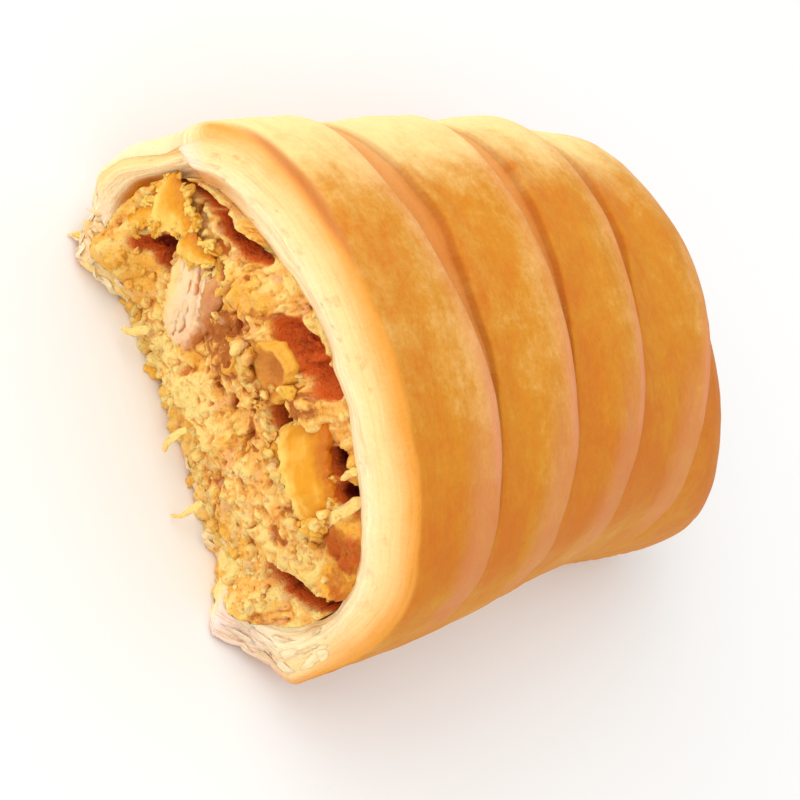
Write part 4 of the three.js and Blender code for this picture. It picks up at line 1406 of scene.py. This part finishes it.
# Yellow shreds: their way, widths, thickness, relief and tint.
# Tint is painted shade, most on the shred by the band.
SHREDS = (
    (
        ((0.8, 27.0, 15.8), (-0.4, 25.2, 15.0), (-1.0, 23.0, 14.8), (-0.8, 20.6, 16.0)),
        (0.8, 4.2, 6.8, 3.4),
        0.8,
        0.25,
        0.1,
    ),
    (((-1.5, 25.2, 5.6), (-1.6, 24.2, 9.2), (-1.0, 23.6, 13.4)), (0.7, 1.9, 4.0), 0.7, 0.25, 0.0),
    (((-1.2, 24.0, 9.6), (-1.6, 23.0, 8.4), (-1.6, 22.2, 7.6)), (1.4, 0.9, 0.4), 0.6, 0.2, 0.0),
    (((-1.0, 22.8, 12.4), (-1.4, 21.8, 11.6), (-1.3, 21.2, 10.6)), (2.0, 1.4, 0.4), 0.6, 0.2, 0.0),
    (((-0.6, 21.8, 15.6), (-1.2, 20.4, 16.2), (-1.0, 18.8, 16.4)), (2.6, 3.2, 2.0), 1.0, 0.4, 0.4),
    (
        ((-0.4, 20.0, 15.0), (-1.3, 18.2, 15.6), (-1.5, 16.2, 17.2), (-0.8, 14.6, 18.4)),
        (2.4, 3.6, 2.8, 1.4),
        1.6,
        0.5,
        0.1,
    ),
    (((0.6, -5.6, 16.8), (-0.4, -7.4, 17.6), (-0.4, -9.4, 17.6)), (1.2, 2.4, 1.2), 1.0, 0.4, 0.1),
)
FRINGE_CRUMBS = 22


def shred_mesh(shape):
    """Yellow shreds hanging from the lid, with crumbs along their edges."""
    gathering = Gathering()
    random = np.random.default_rng(shape.seed + 9)
    for i, (knots, widths, thickness, relief, tint) in enumerate(SHREDS):
        thicknesses = (0.8 * thickness, thickness, 0.5 * thickness)
        rings = add_sweep(
            gathering, knots, widths, thicknesses, shape, seed=21 + 3 * i, relief=relief, size=1.3, tint=tint,
            around=34, along=60, blunt=4.0, ragged=0.3,
        )
        # A fringe of crumbs along its edges, with a few on its face.
        for k in range(FRINGE_CRUMBS):
            row, column = random.integers(3, 57), random.choice((0, 1, 16, 17, 18, 33, 25))
            size = random.uniform(0.14, 0.42) * min(1.0, 0.4 + widths[1] / 5)
            turn = any_turn(random)
            middle = rings[row, column] - np.array([0.1, 0, 0])
            half_sizes = size * random.uniform(0.5, 1.8, 3)
            crumb = blob(middle, half_sizes, turn, k, relief=0.9, rings=12, around=18)
            across = random.uniform(-1.0, -0.2)
            gathering.add(roughened(crumb, 0.35, 0.12, k), across=across, tint=tint - 0.3, flow=crumb)
    return gathering.piece("filling_yellow_shreds")


def slice_rings(radius, thickness, seed, around=72):
    """Rings of a thin round slice, from its face over its rim to its back, and their shares of its radius."""
    angle = np.arange(around) / around * 2 * math.pi
    turned = np.concatenate([np.zeros(16), np.linspace(0, 1, 9), np.ones(6)])
    bend = 0.93 + 0.07 * np.sin(turned[16:25] * math.pi)
    share = np.concatenate([np.linspace(0.04, 0.93, 16), bend, np.linspace(0.9, 0.1, 6)])
    way = np.stack([0 * angle, np.cos(angle), np.sin(angle)], -1)
    outline = 1 + 0.16 * noise(way * 1.4, 1, seed) + 0.08 * noise(way * 5.0, 1, seed + 1)
    outline = outline - 0.22 * hill(angle, 4.4, 0.3)
    reach = share[:, None] * outline * radius
    raised = 0.5 * hill(share, 0.82, 0.14) - 0.75 * smooth((0.72 - share) / 0.5)
    rings = reach[..., None] * way
    rings[..., 0] = (turned * thickness - raised * (1 - turned))[:, None]
    rings = rings + 0.26 * np.stack([rough(rings + 9 * k, 1.3, seed + k) for k in range(3)], -1)
    return rings, np.broadcast_to(share[:, None], reach.shape)


# Slices of mushroom: middle (y, z), radius, lean and seed.
MUSHROOMS = ((0.2, 21.2, 3.6, 0.12, 31), (4.4, 15.6, 2.3, -0.3, 33))
SLICE_THICKNESS = 1.4


def mushroom_mesh(shape):
    """Sliced button mushroom: thin rounds with a raised rim."""
    gathering = Gathering()
    for y, z, radius, lean, seed in MUSHROOMS:
        x = face_plain(y, z) - 0.6
        turn = Matrix.Rotation(lean, 3, "Z") @ Matrix.Rotation(-0.2, 3, "Y")
        rings, share = slice_rings(radius, SLICE_THICKNESS, shape.seed + seed)
        rings = rings @ np.array(turn).T + np.array([x, y, z])
        gathering.add(rings, across=share * 2.4 - 1.3, tint=0.1, flow=rings)
    return gathering.piece("filling_mushroom_slices")


# ---------------------------------------------------------------- operators


class StrudelOperator:
    """Runs make with the scene's shape and colours."""

    bl_options = {"REGISTER", "UNDO"}

    def execute(self, context):
        self.make(context.scene.strudel_shape, context.scene.strudel_colours)
        return {"FINISHED"}


class STRUDEL_OT_crust(StrudelOperator, bpy.types.Operator):
    """Makes the baked crust with its slits and torn edge"""

    bl_idname = "strudel.crust"
    bl_label = "Crust"

    def make(self, shape, colours):
        finish = pastry_finish(colours)
        crust, band, damp = crust_mesh(shape)
        place_piece(crust, finish, "pastry_crust")
        place_piece(flakes_mesh(shape, band, damp), finish, "pastry_crust")


class STRUDEL_OT_paste(StrudelOperator, bpy.types.Operator):
    """Makes the filling's paste and the chopped bits on it"""

    bl_idname = "strudel.paste"
    bl_label = "Paste"

    def make(self, shape, colours):
        finish = paste_finish(colours)
        place_piece(core_mesh(shape), finish, "filling")
        place_piece(bits_mesh(shape), finish, "filling")


class STRUDEL_OT_chunks(StrudelOperator, bpy.types.Operator):
    """Makes the chunks that stand out of the paste"""

    bl_idname = "strudel.chunks"
    bl_label = "Chunks"

    def make(self, shape, colours):
        c = colours
        chicken = piece_finish("chicken", c.chicken, c.chicken_shade, c.chicken_paste_and_lit, 0.55)
        yellow = piece_finish("yellow_strip", c.strip, c.strip_shade, c.strip_pale_and_lit, 0.4)
        mushroom = piece_finish("mushroom", c.mushroom, c.mushroom_rim, c.mushroom_heart, 0.5)
        place_piece(chicken_mesh(shape), chicken, "filling")
        place_piece(strip_mesh(shape), yellow, "filling")
        place_piece(shred_mesh(shape), yellow, "filling")
        place_piece(mushroom_mesh(shape), mushroom, "filling")


class STRUDEL_OT_stage(StrudelOperator, bpy.types.Operator):
    """Makes the floor, the lights and the camera"""

    bl_idname = "strudel.stage"
    bl_label = "Stage"

    def make(self, shape, colours):
        make_floor()
        make_lights()
        make_camera()


def make_floor():
    """A wide sheet of off-white paper."""
    mesh = bpy.data.meshes.new("floor")
    corners = [(x * FLOOR_HALF, y * FLOOR_HALF, 0) for x, y in ((-1, -1), (1, -1), (1, 1), (-1, 1))]
    mesh.from_pydata(corners, [], [(0, 1, 2, 3)])
    floor = bpy.data.objects.new("floor", mesh)
    f = Finish("floor_paper")
    shade = f.colour(f.noise(80, 2, 0.5), *FLOOR_TONES)
    mesh.materials.append(f.surface(base_color=shade, roughness=0.9, specular_ior_level=0.1))
    bpy.context.scene.collection.objects.link(floor)


def make_lights():
    """A bright room and two soft lamps."""
    scene = bpy.context.scene
    world = bpy.data.worlds.new("studio")
    world.use_nodes = True
    room = world.node_tree.nodes["Background"].inputs
    room["Color"].default_value = ROOM_COLOUR
    room["Strength"].default_value = ROOM_STRENGTH
    scene.world = world
    target = Vector(LAMP_AIM)
    for name, way, size, power in LAMPS:
        lamp = bpy.data.lights.new(name, "AREA")
        lamp.shape = "DISK"
        lamp.size = size
        lamp.energy = power
        lamp.color = LAMP_COLOUR
        thing = bpy.data.objects.new(name, lamp)
        thing.location = target + Vector(way).normalized() * LAMP_DISTANCE
        thing.rotation_euler = (thing.location - target).to_track_quat("Z", "Y").to_euler()
        scene.collection.objects.link(thing)
    scene.view_settings.view_transform = "Standard"


def make_camera():
    """A camera that looks at the torn end from above, tilted about its own way."""
    low, high = CAD_BOUNDS
    aim = Vector(low[k] + (high[k] - low[k]) * CAMERA_AIM[k] for k in range(3))
    azimuth, elevation, roll = (math.radians(v) for v in (CAMERA_AZIMUTH, CAMERA_ELEVATION, CAMERA_ROLL))
    back = Vector((
        math.sin(azimuth) * math.cos(elevation),
        -math.cos(azimuth) * math.cos(elevation),
        math.sin(elevation),
    ))
    right = (-back).cross(Vector((0, 0, 1))).normalized()
    up = right.cross(-back)
    turned_right = right * math.cos(roll) + up * math.sin(roll)
    turned_up = up * math.cos(roll) - right * math.sin(roll)
    camera = bpy.data.cameras.new("camera")
    camera.lens = CAMERA_LENS
    camera.sensor_width = CAMERA_SENSOR
    camera.clip_start = 0.01
    thing = bpy.data.objects.new("camera", camera)
    turn = Matrix((turned_right, turned_up, back)).transposed().to_4x4()
    thing.matrix_world = Matrix.Translation(aim + back * CAMERA_DISTANCE) @ turn
    bpy.context.scene.collection.objects.link(thing)
    bpy.context.scene.camera = thing


class STRUDEL_PT_panel(bpy.types.Panel):
    """Every size and colour, and a button for each operator"""

    bl_idname = "STRUDEL_PT_panel"
    bl_label = "Strudel"
    bl_space_type = "VIEW_3D"
    bl_region_type = "UI"
    bl_category = "Strudel"

    def draw(self, context):
        for group in (context.scene.strudel_shape, context.scene.strudel_colours):
            for name in group.__annotations__:
                self.layout.prop(group, name)
        for operator in OPERATORS:
            self.layout.operator(operator.bl_idname)


OPERATORS = (STRUDEL_OT_crust, STRUDEL_OT_paste, STRUDEL_OT_chunks, STRUDEL_OT_stage)
CLASSES = (StrudelShape, StrudelColours, *OPERATORS, STRUDEL_PT_panel)


def register():
    for kind in CLASSES:
        bpy.utils.register_class(kind)
    bpy.types.Scene.strudel_shape = bpy.props.PointerProperty(type=StrudelShape)
    bpy.types.Scene.strudel_colours = bpy.props.PointerProperty(type=StrudelColours)


def unregister():
    del bpy.types.Scene.strudel_colours
    del bpy.types.Scene.strudel_shape
    for kind in reversed(CLASSES):
        bpy.utils.unregister_class(kind)


def main():
    register()
    for operator in OPERATORS:
        group, name = operator.bl_idname.split(".")
        getattr(getattr(bpy.ops, group), name)()


if __name__ == "__main__":
    main()
